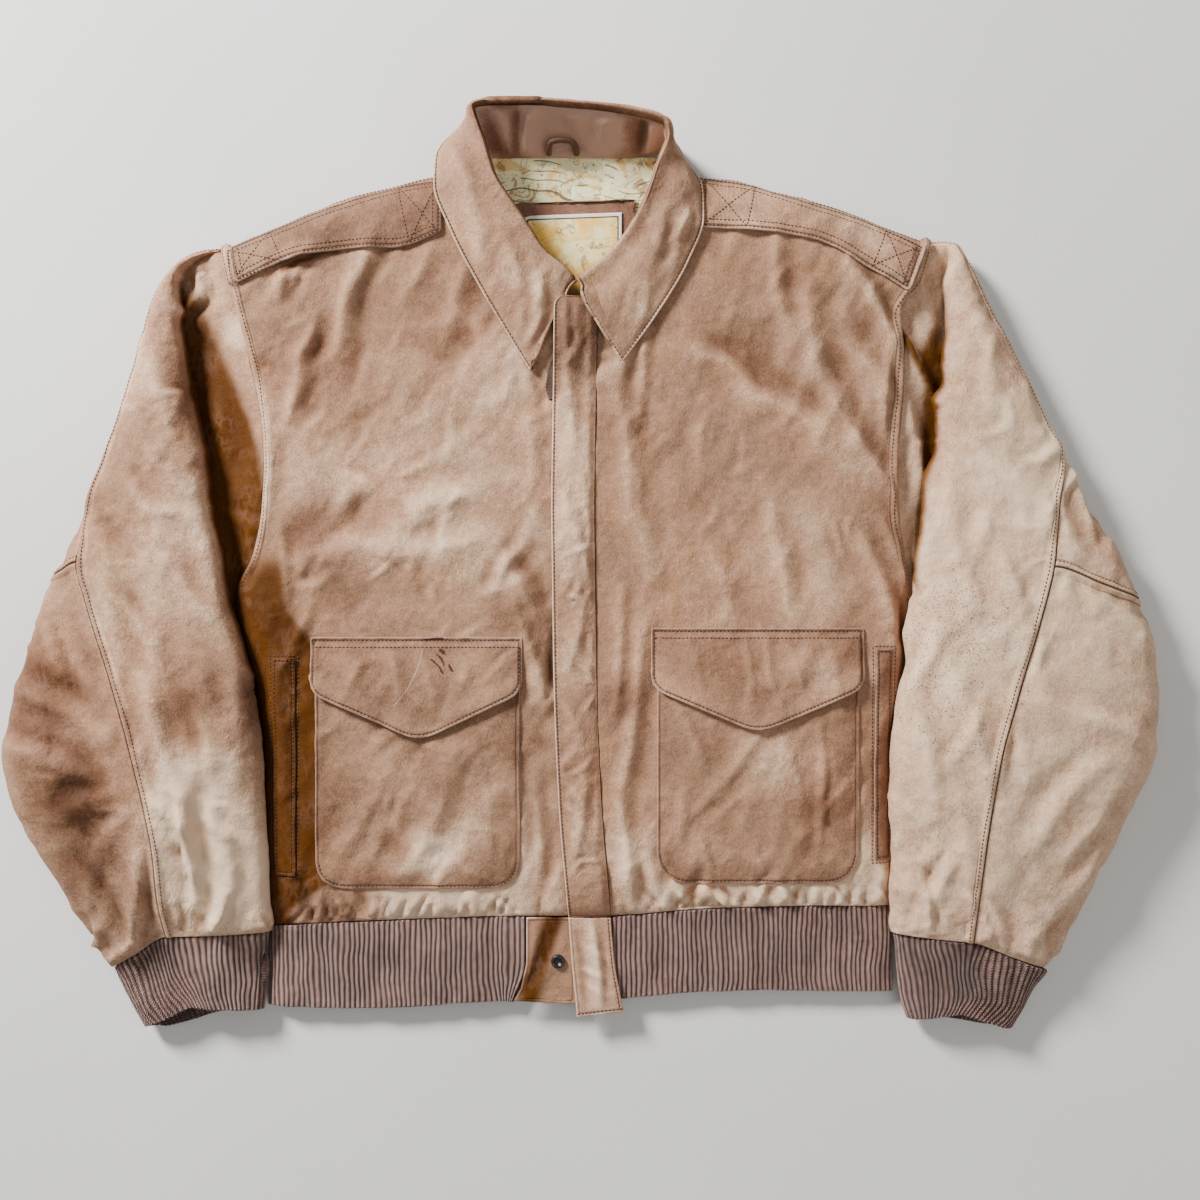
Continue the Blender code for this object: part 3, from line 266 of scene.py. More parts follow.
def folds_depth(folds, x, y):
    """How far the folds press the cloth down at a place."""
    depth = 0.0
    for fold in folds:
        run = Vector((fold.x2 - fold.x1, fold.y2 - fold.y1))
        reach = Vector((x - fold.x1, y - fold.y1))
        along = min(max(reach.dot(run) / run.length_squared, 0.0), 1.0)
        away = (reach - run * along).length / fold.half_width
        depth += fold.depth * math.exp(-away * away)
    return depth


def top_edge(side, reach):
    """The y of the shoulder line, or of the neckline nearer the middle."""
    if reach < NECK_HALF:
        return between(NECKLINE, reach)
    return between(SHOULDER[side], reach)


def front_height(side, reach, y):
    """Height of a front's outer skin, at a distance from the middle."""
    edge_x, edge, full = body_at(side, y)
    height = edge + (full - edge) * round_over((edge_x - reach) / SIDE_ROUND)
    below = between(SHOULDER[side], reach) - y
    if reach > NECK_HALF - NECK_BLEND:
        drop = round_over(below / SHOULDER_ROUND)
        share = min((reach - NECK_HALF + NECK_BLEND) / NECK_BLEND, 1.0)
        lowest = FLOOR_SHEET + WALL
        height = lowest + (height - lowest) * (1.0 - share * (1.0 - drop))
    place_x, place_y = NECK_RISE_PLACE
    near_neck = max(0.0, 1.0 - math.hypot(reach - place_x, y - place_y) / NECK_RISE_REACH)
    height += NECK_RISE * near_neck * near_neck * round_over(below / (2 * NECK_BLEND))
    return height - folds_depth(FRONT_FOLDS, side * reach, y) * min(1.0, max(0.0, height - 8) / 12)


def closing_edge(side, y):
    """Where a front ends under or beside the wind flap, as distance from the middle."""
    flap = between(FLAP_EDGE, y)
    return -(flap + FLAP_OVER_RIGHT) if side == RIGHT else flap + FLAP_WIDTH + SEAM / 2


def front_rows(side):
    """Outer points of a front, from the hem to the shoulder, from the side to the closing edge."""
    rows = []
    levels = BODY[side]
    knee = levels[YOKE_START].y
    for index, level in enumerate(levels):
        edge = level.side - SEAM / 2
        row = []
        for share in COLUMN_SHARES:
            if index > YOKE_START:
                climb = (level.y - knee) / (levels[-1].y - knee)
                near = closing_edge(side, knee)
                reach = edge + (near - edge) * share
                start = levels[-1].side + (near - levels[-1].side) * share
                y = knee + (top_edge(side, start) - knee) * climb
            else:
                reach = edge + (closing_edge(side, level.y) - edge) * share
                y = level.y if index else between(HEM[side], reach) + SEAM / 2
            height_at = level.y if share == 0.0 else y
            row.append(Vector((side * reach, y, front_height(side, reach, height_at))))
        rows.append(row)
    return rows


def round_corner(before, corner, after, radius, steps=4):
    """Points of an arc that rounds one corner of an outline."""
    corner = Vector(corner)
    to_before = (Vector(before) - corner).normalized()
    to_after = (Vector(after) - corner).normalized()
    half = to_before.angle(to_after) / 2
    run = radius / math.tan(half)
    middle = corner + (to_before + to_after).normalized() * (radius / math.sin(half))
    start = corner + to_before * run - middle
    end = corner + to_after * run - middle
    sweep = start.angle_signed(end)
    points = []
    for step in range(steps + 1):
        turn = -sweep * step / steps
        points.append((middle.x + start.x * math.cos(turn) - start.y * math.sin(turn),
                       middle.y + start.x * math.sin(turn) + start.y * math.cos(turn)))
    return points


def pocket_outline(inner, outer, top, bottom, corner):
    """A patch pocket with rounded lower corners."""
    low_inner = round_corner((inner, top), (inner, bottom), (outer, bottom), corner)
    low_outer = round_corner((inner, bottom), (outer, bottom), (outer, top), corner)
    return [(inner, top)] + low_inner + low_outer + [(outer, top)]


def oblong(inner, outer, top, bottom):
    """The four corners of a welt."""
    return [(inner, top), (inner, bottom), (outer, bottom), (outer, top)]


def sleeve_section(side, level):
    """Outer points round one section of a sleeve: from the armhole or the underarm seam, over the
    tube, round its outer edge and back along the floor. Also the index of the seam on top."""
    middle = WIDEST * level.height
    width = level.out - level.fold
    tuck = min(TUCK, width * 0.35)
    seam_turn = math.acos(1 - 2 * min((level.seam - level.fold) / width, 0.985)) / math.pi

    def on_top(turn):
        share = (1 - math.cos(math.pi * turn)) / 2
        reach = level.fold + width * share
        seam_share = max((level.seam - level.fold) / width, 0.05)
        if share < seam_share:
            y = level.y_in + (level.y_seam - level.y_in) * share / seam_share
        else:
            beyond = (share - seam_share) / max(1 - seam_share, 0.01)
            y = level.y_seam + (level.y_out - level.y_seam) * beyond
        height = middle + (level.height - middle) * math.sin(math.pi * turn) ** BOXINESS
        sunk = folds_depth(SLEEVE_FOLDS, side * reach, y) * math.sin(math.pi * turn)
        return Vector((side * reach, y, height - sunk))

    if level.arm is None:
        start = Vector((side * (level.fold + UNDER_SEAM), level.y_in, 0.0))
        ankle = Vector((side * (level.fold + tuck * 0.8), level.y_in, 0.0))
        end = Vector((side * (level.fold + UNDER_SEAM), level.y_in, 0.0))
    else:
        edge_y = level.y_in
        arm = level.arm + SEAM / 2
        start = Vector((side * arm, edge_y, front_height(side, level.arm, edge_y)))
        ankle = Vector((side * (arm + (level.fold - arm) * 0.5), edge_y,
                        0.45 * start.z + 0.55 * level.valley))
        end = Vector((side * arm, edge_y, 0.0))
    valley = Vector((side * (level.fold + min(5.0, width * 0.3)), level.y_in, level.valley))
    points = [start, ankle, valley]
    points += [on_top(seam_turn * step / FRONT_COLUMNS) for step in range(FRONT_COLUMNS + 1)]
    seam_index = len(points) - 1
    points += [on_top(seam_turn + (1 - seam_turn) * step / BACK_COLUMNS)
               for step in range(1, BACK_COLUMNS + 1)]
    for angle in (40, 90):
        turn = math.radians(angle)
        points.append(Vector((side * (level.out - tuck * (1 - math.cos(turn))), level.y_out,
                              middle * (1 - math.sin(turn)))))
    foot = points[-1]
    points.append(foot.lerp(end, 0.5))
    points.append(end)
    return points, seam_index


def waist_line(side, table):
    """The waist's seam or the waistband's foot, by its table, from the middle to the side."""
    reaches = [reach for reach, y in table[side][:-1]] + [BODY[side][0].side - SEAM / 2]
    return [(side * reach, between(table[side], reach)) for reach in reaches]


def curve_points(places, steps=3):
    """A smooth line through a few places."""
    points = [Vector(place) for place in places]
    padded = [points[0]] + points + [points[-1]]
    line = []
    for before, start, end, after in zip(padded, padded[1:], padded[2:], padded[3:]):
        for step in range(steps):
            t = step / steps
            bend = 2 * before - 5 * start + 4 * end - after
            twist = 3 * start - before - 3 * end + after
            line.append(0.5 * (2 * start + (end - before) * t + bend * t * t + twist * t ** 3))
    line.append(points[-1])
    return line


# ---- fine grids ----------------------------------------------------------------------------------

STEP = 2.9            # spacing of a panel's points
EDGE_STITCH = 2.8     # a turned edge is sewn this far in
BAND_STITCH = 6.2     # and a seam's pressed-over band this far from the seam
ARM_BAND = 8.4        # the band along an armhole
RIM_MARKS = (0.3, 0.8, 1.6, EDGE_STITCH, 4.4, BAND_STITCH, 7.6)
TURN = 0.42           # an edge is rounded by this share of the wall's thickness


def eased(points, places, corners=()):
    """Read rows of points at fractional places, along a smooth line that never overshoots.

    The line turns sharply at the rows named as corners."""
    points = np.asarray(points, float)
    step = np.diff(points, axis=0)
    before, after = step[:-1], step[1:]
    same = before * after > 0
    mean = 2 * before * after / np.where(same, before + after, 1)
    slope = np.concatenate([step[:1], np.where(same, mean, 0), step[-1:]])
    places = np.clip(places, 0, len(points) - 1)
    low = np.minimum(places.astype(int), len(points) - 2)
    t = (places - low).reshape((-1,) + (1,) * (points.ndim - 1))
    leaving, arriving = slope[low], slope[low + 1]
    for corner in corners:
        leaving[low == corner] = step[corner]
        arriving[low + 1 == corner] = step[corner - 1]
    return (points[low] * (1 + 2 * t) * (1 - t) ** 2 + leaving * t * (1 - t) ** 2
            + points[low + 1] * t * t * (3 - 2 * t) + arriving * t * t * (t - 1))


def marks_over(length, step, rims):
    """Places over a length, one every step, with closer ones by both ends."""
    near = [mark for mark in rims if mark < length * 0.4]
    start = near[-1] if near else 0.0
    count = max(1, round((length - 2 * start) / step))
    middle = np.linspace(start, length - start, count + 1)
    far = [length - mark for mark in near]
    return np.unique(np.round(np.concatenate([[0.0], near, middle, far, [length]]), 5))


def spaced(points, step, stops=(), rims=RIM_MARKS):
    """Fractional places along a grid's first axis, and where its stops come among them."""
    lengths = np.linalg.norm(np.diff(points, axis=0), axis=-1).mean(axis=1)
    run = np.concatenate([[0.0], np.cumsum(lengths)])
    fixed = [0, *stops, len(run) - 1]
    marks = [run[start] + marks_over(run[end] - run[start], step, rims)
             for start, end in zip(fixed, fixed[1:])]
    marks = np.unique(np.round(np.concatenate(marks), 5))
    found = [int(np.argmin(abs(marks - run[stop]))) for stop in stops]
    return np.interp(marks, run, np.arange(len(run))), found


def as_grid(rows):
    """Rows of points as one array."""
    return np.array([[tuple(point) for point in row] for row in rows], float)


def fine(rows, step=STEP, row_stops=(), column_stops=(), rims=RIM_MARKS, corners=()):
    """A coarse grid read again at a fine spacing, and the new indexes of its stops."""
    grid = as_grid(rows)
    along, row_at = spaced(grid, step, row_stops, rims)
    across, column_at = spaced(np.swapaxes(grid, 0, 1), step, column_stops, rims)
    grid = np.swapaxes(eased(np.swapaxes(eased(grid, along, corners), 0, 1), across), 0, 1)
    return grid, row_at, column_at


def facing(grid, out, closed=False):
    """The outward normal at each point of a grid."""
    wide = np.concatenate([grid[:, -1:], grid, grid[:, :1]], axis=1) if closed else grid
    across = np.gradient(wide, axis=1)
    along = np.gradient(wide, axis=0)
    normal = np.cross(across, along) * out
    normal /= np.maximum(np.linalg.norm(normal, axis=-1, keepdims=True), 1e-9)
    return normal[:, 1:-1] if closed else normal


def from_side(grid, axis, far=False):
    """How far each point is from a grid's first line along an axis, or from its last."""
    steps = np.linalg.norm(np.diff(grid, axis=axis), axis=-1)
    run = np.cumsum(steps, axis=axis)
    run = np.concatenate([np.zeros_like(run.take([0], axis)), run], axis=axis)
    return run.take([-1], axis) - run if far else run


ROW_ENDS, COLUMN_ENDS = ((0, False), (0, True)), ((1, False), (1, True))


def from_rims(grid, *rims):
    """How far each point is from the nearest of a few sides, each an axis and whether it is the last."""
    return np.min([from_side(grid, axis, far) for axis, far in rims], axis=0)


def bell(value, width):
    """A smooth hump, 1 at 0 and almost 0 beyond twice its width."""
    return np.exp(-(value / width) ** 2)


def ramp_up(value, low, high):
    """A smooth step from 0 at low to 1 at high."""
    share = np.clip((value - low) / (high - low), 0, 1)
    return share * share * (3 - 2 * share)


# ---- folds ---------------------------------------------------------------------------------------

Crease = namedtuple("Crease", "x1 y1 x2 y2 bow width height")
# A soft ridge between two ends, with a hollow on its left-hand side; a negative height turns them over.
# bow is how far its middle swings to the left


def creased(creases, x, y):
    """Height of the creases at each place."""
    total = np.zeros_like(x)
    for crease in creases:
        run_x, run_y = crease.x2 - crease.x1, crease.y2 - crease.y1
        length = math.hypot(run_x, run_y)
        share = ((x - crease.x1) * run_x + (y - crease.y1) * run_y) / length ** 2
        inside = np.clip(share, 0, 1)
        beyond = abs(share - inside) * length / (crease.width * 1.5)
        side = ((y - crease.y1) * run_x - (x - crease.x1) * run_y) / length
        side = (side - crease.bow * 4 * inside * (1 - inside)) / crease.width
        fade = (0.35 + 0.65 * np.sin(math.pi * (0.12 + 0.76 * inside))) * np.exp(-beyond ** 2)
        ridge = np.exp(-1.15 * abs(side) ** 1.35)
        total += crease.height * fade * (ridge - 0.6 * np.exp(-(side - 1.5) ** 2 / 0.8))
    return total


def uneven(x, y, size, seed):
    """Smooth random heights from -1 to 1, one bump about every size millimetres."""
    lattice = np.random.default_rng(seed).uniform(-1, 1, (64, 64))
    u, v = x / size + 200.5, y / size + 200.5
    i, j = np.floor(u).astype(int), np.floor(v).astype(int)
    s, t = u - i, v - j
    s, t = s * s * (3 - 2 * s), t * t * (3 - 2 * t)
    a, b, c, d = (lattice[(i + m) % 64, (j + n) % 64] for m, n in ((0, 0), (1, 0), (0, 1), (1, 1)))
    return (a * (1 - s) + b * s) * (1 - t) + (c * (1 - s) + d * s) * t


def crumpled(x, y, seed, amount=1.0, turn=60.0):
    """The shallow unevenness of worn leather: broad swells, and ridges and hollows with crisp lines,
    longest along a turn in degrees."""
    along, across = math.cos(math.radians(turn)), math.sin(math.radians(turn))
    u = x * across - y * along + 8 * uneven(x, y, 38, seed + 5)
    v = (x * along + y * across) * 0.62 + 8 * uneven(x, y, 38, seed + 6)
    broad = uneven(u, v, 58, seed) * 0.9
    ridges = 0.25 - abs(uneven(u, v, 30, seed + 1))
    hollows = abs(uneven(u, v, 22, seed + 2)) - 0.25
    patch = ramp_up(uneven(x, y, 60, seed + 3), -0.5, 0.5)
    small = 0.25 - abs(uneven(u, v, 12, seed + 4))
    tiny = abs(uneven(u, v, 7, seed + 7)) - 0.25
    large = (1.7 * ridges + 1.1 * hollows) * (0.35 + 0.65 * patch)
    return amount * (broad + large + 0.65 * small * patch + 0.3 * tiny)


def scattered(count, box, length, width, height, turn, seed):
    """Small creases strewn over a box (x1, y1, x2, y2), each about a turn in degrees."""
    pick = np.random.default_rng(seed)
    made = []
    for _ in range(count):
        x, y = pick.uniform(box[0], box[2]), pick.uniform(box[1], box[3])
        angle = math.radians(turn + pick.normal(0, 24))
        reach = length * pick.uniform(0.4, 1.3) / 2
        run_x, run_y = math.cos(angle) * reach, math.sin(angle) * reach
        made.append(Crease(x - run_x, y - run_y, x + run_x, y + run_y, pick.normal(0, 0.12) * length,
                           width * pick.uniform(0.6, 1.4), height * pick.uniform(0.4, 1.2)))
    return made


def from_line(places, x, y):
    """How far each point is from a line through a few places in plan."""
    near = np.full(x.shape, 1e9)
    for (x1, y1), (x2, y2) in zip(places, places[1:]):
        run_x, run_y = x2 - x1, y2 - y1
        share = np.clip(((x - x1) * run_x + (y - y1) * run_y) / max(run_x ** 2 + run_y ** 2, 1e-9), 0, 1)
        near = np.minimum(near, np.hypot(x - x1 - share * run_x, y - y1 - share * run_y))
    return near


def seam_band(away, strength, width=BAND_STITCH):
    """A seam whose allowance is pressed to this side: a groove, a raised band and its sewn line."""
    band = ramp_up(away, 0.2, 1.4) * (1 - ramp_up(away, width - 0.4, width + 1.2))
    groove = bell(away, 0.7)
    sewn = bell(away - width, 1.1)
    return strength * (0.55 * band - 0.5 * groove - 0.35 * sewn)


# ---- walls ---------------------------------------------------------------------------------------

# What each piece measures as it was cut, for what shows: width, length, and what it lies on
Cut = namedtuple("Cut", "width length area lies_on")


def mesh_of(bm, name):
    """The mesh of a finished bmesh, which is freed."""
    mesh = bpy.data.meshes.new(name)
    bm.to_mesh(mesh)
    bm.free()
    return mesh


def wall_mesh(name, skin, inside, closed, marks):
    """A mesh between two grids of points, with a number at each point for each of the marks."""
    rows, columns = skin.shape[:2]
    bm = bmesh.new()
    bmesh.ops.create_grid(bm, x_segments=columns - (0 if closed else 1), y_segments=rows - 1, size=1)
    place = bm.verts.layers.int.new("place")
    width = columns + 1 if closed else columns
    for index, vert in enumerate(bm.verts):
        row, column = divmod(index, width)
        vert[place] = 1 + row * columns + column % columns
        if closed:
            turn = math.tau * column / columns
            vert.co = (math.cos(turn), math.sin(turn), row)
    if closed:
        bmesh.ops.remove_doubles(bm, verts=bm.verts[:], dist=1e-4)
    made = bmesh.ops.extrude_face_region(bm, geom=bm.faces[:], use_keep_orig=True)
    for item in made["geom"]:
        if isinstance(item, bmesh.types.BMVert):
            item[place] = -item[place]
    mesh = mesh_of(bm, name)
    order = np.empty(len(mesh.vertices), np.int32)
    mesh.attributes["place"].data.foreach_get("value", order)
    spot = abs(order) - 1
    points = np.where(order[:, None] > 0, skin.reshape(-1, 3)[spot], inside.reshape(-1, 3)[spot]) * MM
    mesh.vertices.foreach_set("co", points.ravel())
    mesh.attributes.remove(mesh.attributes["place"])
    for key, values in marks.items():
        layer = mesh.attributes.new(key, "FLOAT", "POINT")
        values = np.broadcast_to(np.asarray(values, float), skin.shape[:2])
        layer.data.foreach_set("value", values.reshape(-1)[spot].astype(np.float32))
    turned_out(mesh)
    return mesh


def turned_out(mesh):
    """Point a closed mesh's faces outwards."""
    bm = bmesh.new()
    bm.from_mesh(mesh)
    bmesh.ops.recalc_face_normals(bm, faces=bm.faces[:])
    if bm.calc_volume(signed=True) < 0:
        bmesh.ops.reverse_faces(bm, faces=bm.faces[:])
    bm.to_mesh(mesh)
    bm.free()
    mesh.shade_smooth()


def put_in_scene(name, mesh, finish):
    """An object that rides on the jacket."""
    mesh.materials.clear()
    mesh.materials.append(finish)
    made = bpy.data.objects.new(name, mesh)
    bpy.context.scene.collection.objects.link(made)
    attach(made, "root")
    return made


def cloth(node, grid, thickness, finish, slot, out=1, closed=False, edge=None, **marks):
    """The wall under an outer grid. edge is how far each point is from the wall's own rim."""
    normal = facing(grid, out, closed)
    if edge is None:
        edge = from_rims(grid, *ROW_ENDS, *(() if closed else COLUMN_ENDS))
    radius = thickness * TURN
    dip = (radius * (1 - np.sqrt(1 - np.clip(1 - edge / radius, 0, 1) ** 2)))[..., None]
    marks.setdefault("edge", edge)
    marks.setdefault("worn", 0.15)
    mesh = wall_mesh(node + "_cloth", grid - normal * dip, grid - normal * (thickness - dip), closed, marks)
    made = put_in_scene(node + "_cloth", mesh, finish)
    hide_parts(node)
    cut = CUTS[node]
    cut.width / 1000
    cut.area * cut.width * cut.length / 1e6
    return made


class Ground:
    """What a piece is laid on: the highest skin under any place."""

    def __init__(self, *pieces):
        graph = bpy.context.evaluated_depsgraph_get()
        graph.update()
        self.trees = [BVHTree.FromObject(piece, graph) for piece in pieces]

    def height(self, x, y, otherwise=0.0):
        """Height at each place, in millimetres."""
        found = np.full(x.shape, np.nan)
        start = Vector((0, 0, 0.3))
        for index in np.ndindex(x.shape):
            start.x, start.y = x[index] * MM, y[index] * MM
            hits = [tree.ray_cast(start, Vector((0, 0, -1)))[0] for tree in self.trees]
            hits = [hit.z for hit in hits if hit]
            if hits:
                found[index] = max(hits) / MM
        return np.where(np.isnan(found), otherwise, found)


def softened(outline, reaches):
    """An outline whose corners are rounded; each corner has its own reach, and 0 keeps it sharp."""
    points = []
    for index, (here, reach) in enumerate(zip(outline, reaches)):
        here = np.array(here, float)
        before = np.array(outline[index - 1], float)
        after = np.array(outline[(index + 1) % len(outline)], float)
        if not reach:
            points.append(tuple(here))
            continue
        start = here + (before - here) * min(reach / np.linalg.norm(before - here), 0.45)
        end = here + (after - here) * min(reach / np.linalg.norm(after - here), 0.45)
        for share in np.linspace(0, 1, 6):
            points.append(tuple(start * (1 - share) ** 2 + here * 2 * share * (1 - share) + end * share ** 2))
    return points


def width_at(outline, level):
    """Where an outline's two sides are at one level."""
    crossings = []
    for (x1, y1), (x2, y2) in zip(outline, outline[1:] + outline[:1]):
        if min(y1, y2) <= level <= max(y1, y2) and y1 != y2:
            crossings.append(x1 + (x2 - x1) * (level - y1) / (y2 - y1))
    return min(crossings), max(crossings)


def filled(outline, step=2.7, upright=False, rims=RIM_MARKS):
    """A plan grid that fills an outline row by row, or column by column where upright."""
    if upright:
        outline = [(y, x) for x, y in outline]
    low, high = min(y for x, y in outline), max(y for x, y in outline)
    wide = max(x for x, y in outline) - min(x for x, y in outline)
    levels = low + marks_over(high - low, step, rims)
    levels[0] += 1e-3
    levels[-1] -= 1e-3
    shares = marks_over(wide, step, rims) / wide
    rows = []
    for level in levels:
        left, right = width_at(outline, level)
        rows.append([(left + (right - left) * share, level) for share in shares])
    grid = np.array(rows)
    return grid[..., ::-1].swapaxes(0, 1) if upright else grid


def to_outline(grid, outline):
    """How far each place of a plan grid is from an outline."""
    return from_line(outline + outline[:1], grid[..., 0], grid[..., 1])


# ---- thread --------------------------------------------------------------------------------------

STITCH_PITCH, STITCH_LONG, STITCH_THICK = 3.4, 2.8, 1.2


class Sewing:
    """Rows of stitches, gathered and then made as one piece."""

    def __init__(self):
        self.rows = []

    def sew(self, line, normals, pitch=STITCH_PITCH):
        """A row of stitches along a line of points."""
        line, normals = np.asarray(line, float), np.asarray(normals, float)
        run = np.concatenate([[0], np.cumsum(np.linalg.norm(np.diff(line, axis=0), axis=1))])
        places = np.arange(pitch / 2, run[-1] - pitch / 3, pitch)
        if len(places) < 2:
            return
        at = [np.stack([np.interp(places + shift, run, part) for part in line.T], 1) for shift in (-1, 0, 1)]
        up = np.stack([np.interp(places, run, part) for part in normals.T], 1)
        self.rows.append((at[1], at[2] - at[0], up))

    def by_side(self, grid, normal, axis, inset, far=False, keep=None):
        """A row at an inset from one side of a grid; keep says which of its points are sewn."""
        if axis == 0:
            grid, normal = grid.swapaxes(0, 1), normal.swapaxes(0, 1)
        if far:
            grid, normal = grid[:, ::-1], normal[:, ::-1]
        run = from_side(grid, 1)
        rows = range(len(grid)) if keep is None else np.flatnonzero(keep)
        line = [[np.interp(inset, run[row], grid[row, :, k]) for k in range(3)] for row in rows]
        up = [[np.interp(inset, run[row], normal[row, :, k]) for k in range(3)] for row in rows]
        self.sew(line, up)

    def over(self, ground, places, step=3.0):
        """A row laid over what is below, through a few places in plan."""
        line = []
        for start, end in zip(places, places[1:]):
            count = max(1, round(math.dist(start, end) / step))
            line += [(start[0] + (end[0] - start[0]) * k / count, start[1] + (end[1] - start[1]) * k / count)
                     for k in range(count)]
        line = np.array(line + [places[-1]])
        heights = ground.height(line[:, 0], line[:, 1])
        self.sew(np.column_stack([line, heights]), np.tile((0.0, 0.0, 1.0), (len(line), 1)))

    def make(self, name, finish):
        """One piece from all the rows."""
        whole = bmesh.new()
        for places, runs, ups in self.rows:
            row = bmesh.new()
            for place, run, up in zip(places, runs, ups):
                ahead = Vector(run).normalized()
                side = Vector(up).cross(ahead).normalized()
                high = ahead.cross(side)
                thick = STITCH_THICK / 2
                turn = Matrix((ahead * STITCH_LONG / 2, side * thick, high * thick)).transposed()
                where = Matrix.Translation(Vector(place) * MM) @ (turn * MM).to_4x4()
                bmesh.ops.create_icosphere(row, subdivisions=1, radius=1, matrix=where)
            mesh = mesh_of(row, "row")
            whole.from_mesh(mesh)
            bpy.data.meshes.remove(mesh)
        mesh = mesh_of(whole, name)
        mesh.shade_smooth()
        return put_in_scene(name, mesh, finish)


# ---- finishes ------------------------------------------------------------------------------------


class Value:
    """A number that changes over a surface; arithmetic on it adds Math nodes."""

    def __init__(self, finish, socket):
        self.finish = finish
        self.socket = socket

    def math(self, operation, *inputs):
        made = self.finish.node("Math", dict(enumerate(inputs)), operation=operation)
        return Value(self.finish, made.outputs[0])

    def __add__(self, other):
        return self.math("ADD", self, other)

    def __sub__(self, other):
        return self.math("SUBTRACT", self, other)

    def __rsub__(self, other):
        return self.math("SUBTRACT", other, self)

    def __mul__(self, other):
        return self.math("MULTIPLY", self, other)

    def __truediv__(self, other):
        return self.math("DIVIDE", self, other)

    def __neg__(self):
        return self.math("MULTIPLY", self, -1.0)

    __radd__, __rmul__ = __add__, __mul__

    def __abs__(self):
        return self.math("ABSOLUTE", self)

    def power(self, exponent):
        return self.math("POWER", self, exponent)

    def fraction(self):
        return self.math("FRACT", self)

    def sine(self):
        return self.math("SINE", self)

    def step(self, low, high):
        """A smooth step from 0 at low to 1 at high."""
        made = self.finish.node("MapRange", {"Value": self, "From Min": low, "From Max": high},
                                interpolation_type="SMOOTHSTEP")
        return Value(self.finish, made.outputs["Result"])


Mark = namedtuple("Mark", "x1 y1 x2 y2 bow width")
# Damage on the right pocket's flap: each mark runs between two places, bowed to its left
TEARS = rows_of(
    Mark, (-133, -58.5, -118, -57.5, 0.4, 1.3), (-120, -67, -116.5, -69.5, 0, 1.8),
    (-122.5, -71, -116.5, -79.5, 0.8, 0.9), (-128, -75, -117, -87, 1.2, 0.9),
    (-109, -85, -112, -79, 0.5, 0.9))
SCUFFS = rows_of(Mark, (-133, -61, -114, -60, 0, 1.8), (-125, -68, -115, -80, 0, 1.8))
SCRATCHES = [Mark(-135, -66, -159, -114, 4, 0.32)]


class Finish:
    """A material being made from nodes. Its patterns are sized in millimetres."""

    def __init__(self, name, **constants):
        self.material = bpy.data.materials.new(name)
        self.material.use_nodes = True
        self.tree = self.material.node_tree
        self.shader = self.tree.nodes["Principled BSDF"]
        for socket, value in constants.items():
            self.shader.inputs[socket.replace("_", " ")].default_value = value
        self.place = self.node("VectorMath", {0: self.node("TexCoord").outputs["Object"], "Scale": 1000.0},
                               operation="SCALE").outputs[0]

    def node(self, kind, inputs=None, **settings):
        """Any node: its settings first, then its sockets' values or links."""
        made = self.tree.nodes.new("ShaderNode" + kind)
        for key, value in settings.items():
            setattr(made, key, value)
        for key, value in (inputs or {}).items():
            socket = made.inputs[key]
            value = value.socket if isinstance(value, Value) else value
            if isinstance(value, bpy.types.NodeSocket):
                self.tree.links.new(value, socket)
            else:
                socket.default_value = value
        return made

    def mark(self, name):
        """A number kept at the piece's own points."""
        return Value(self, self.node("Attribute", attribute_name=name).outputs["Fac"])

    def noise(self, size, detail=3.0, rough=0.5, stretch=None, warp=0.0):
        """Soft random clouds of a size."""
        place = self.place
        if stretch:
            place = self.node("VectorMath", {0: place, 1: stretch}, operation="MULTIPLY").outputs[0]
        made = self.node("TexNoise", {"Vector": place, "Scale": 1.0 / size, "Detail": detail,
                                      "Roughness": rough, "Distortion": warp})
        return Value(self, made.outputs["Fac"])

    def cells(self, size, wander=True):
        """How far each place is from the middle of a random cell; wandering bends the borders."""
        place = self.place
        if wander:
            drift = self.node("TexNoise", {"Vector": place, "Scale": 0.6 / size, "Detail": 0.0})
            place = self.node("VectorMath", {0: drift.outputs["Color"], 1: (size * 1.2,) * 3, 2: place},
                              operation="MULTIPLY_ADD").outputs[0]
        made = self.node("TexVoronoi", {"Vector": place, "Scale": 1.0 / size})
        return Value(self, made.outputs["Distance"])

    def ramp(self, value, stops):
        """Colours along a value from 0 to 1."""
        made = self.node("ValToRGB", {"Fac": value})
        elements = made.color_ramp.elements
        for index, (at, colour) in enumerate(stops):
            element = elements[index] if index < 2 else elements.new(at)
            element.position = at
            element.color = (*colour, 1.0)
        return made.outputs["Color"]

    def mix(self, share, first, second, blend="MIX"):
        """One colour over another."""
        colours = [(*c, 1.0) if isinstance(c, tuple) else c for c in (first, second)]
        return self.node("Mix", {0: share, 6: colours[0], 7: colours[1]}, data_type="RGBA",
                         blend_type=blend).outputs[2]

    def done(self, colour, height, roughness=None):
        """Link the colour, the height in millimetres and the roughness."""
        self.tree.links.new(colour, self.shader.inputs["Base Color"])
        bump = self.node("Bump", {"Strength": 1.0, "Distance": MM, "Height": height})
        self.tree.links.new(bump.outputs[0], self.shader.inputs["Normal"])
        if roughness is not None:
            self.tree.links.new(roughness.socket, self.shader.inputs["Roughness"])
        return self.material


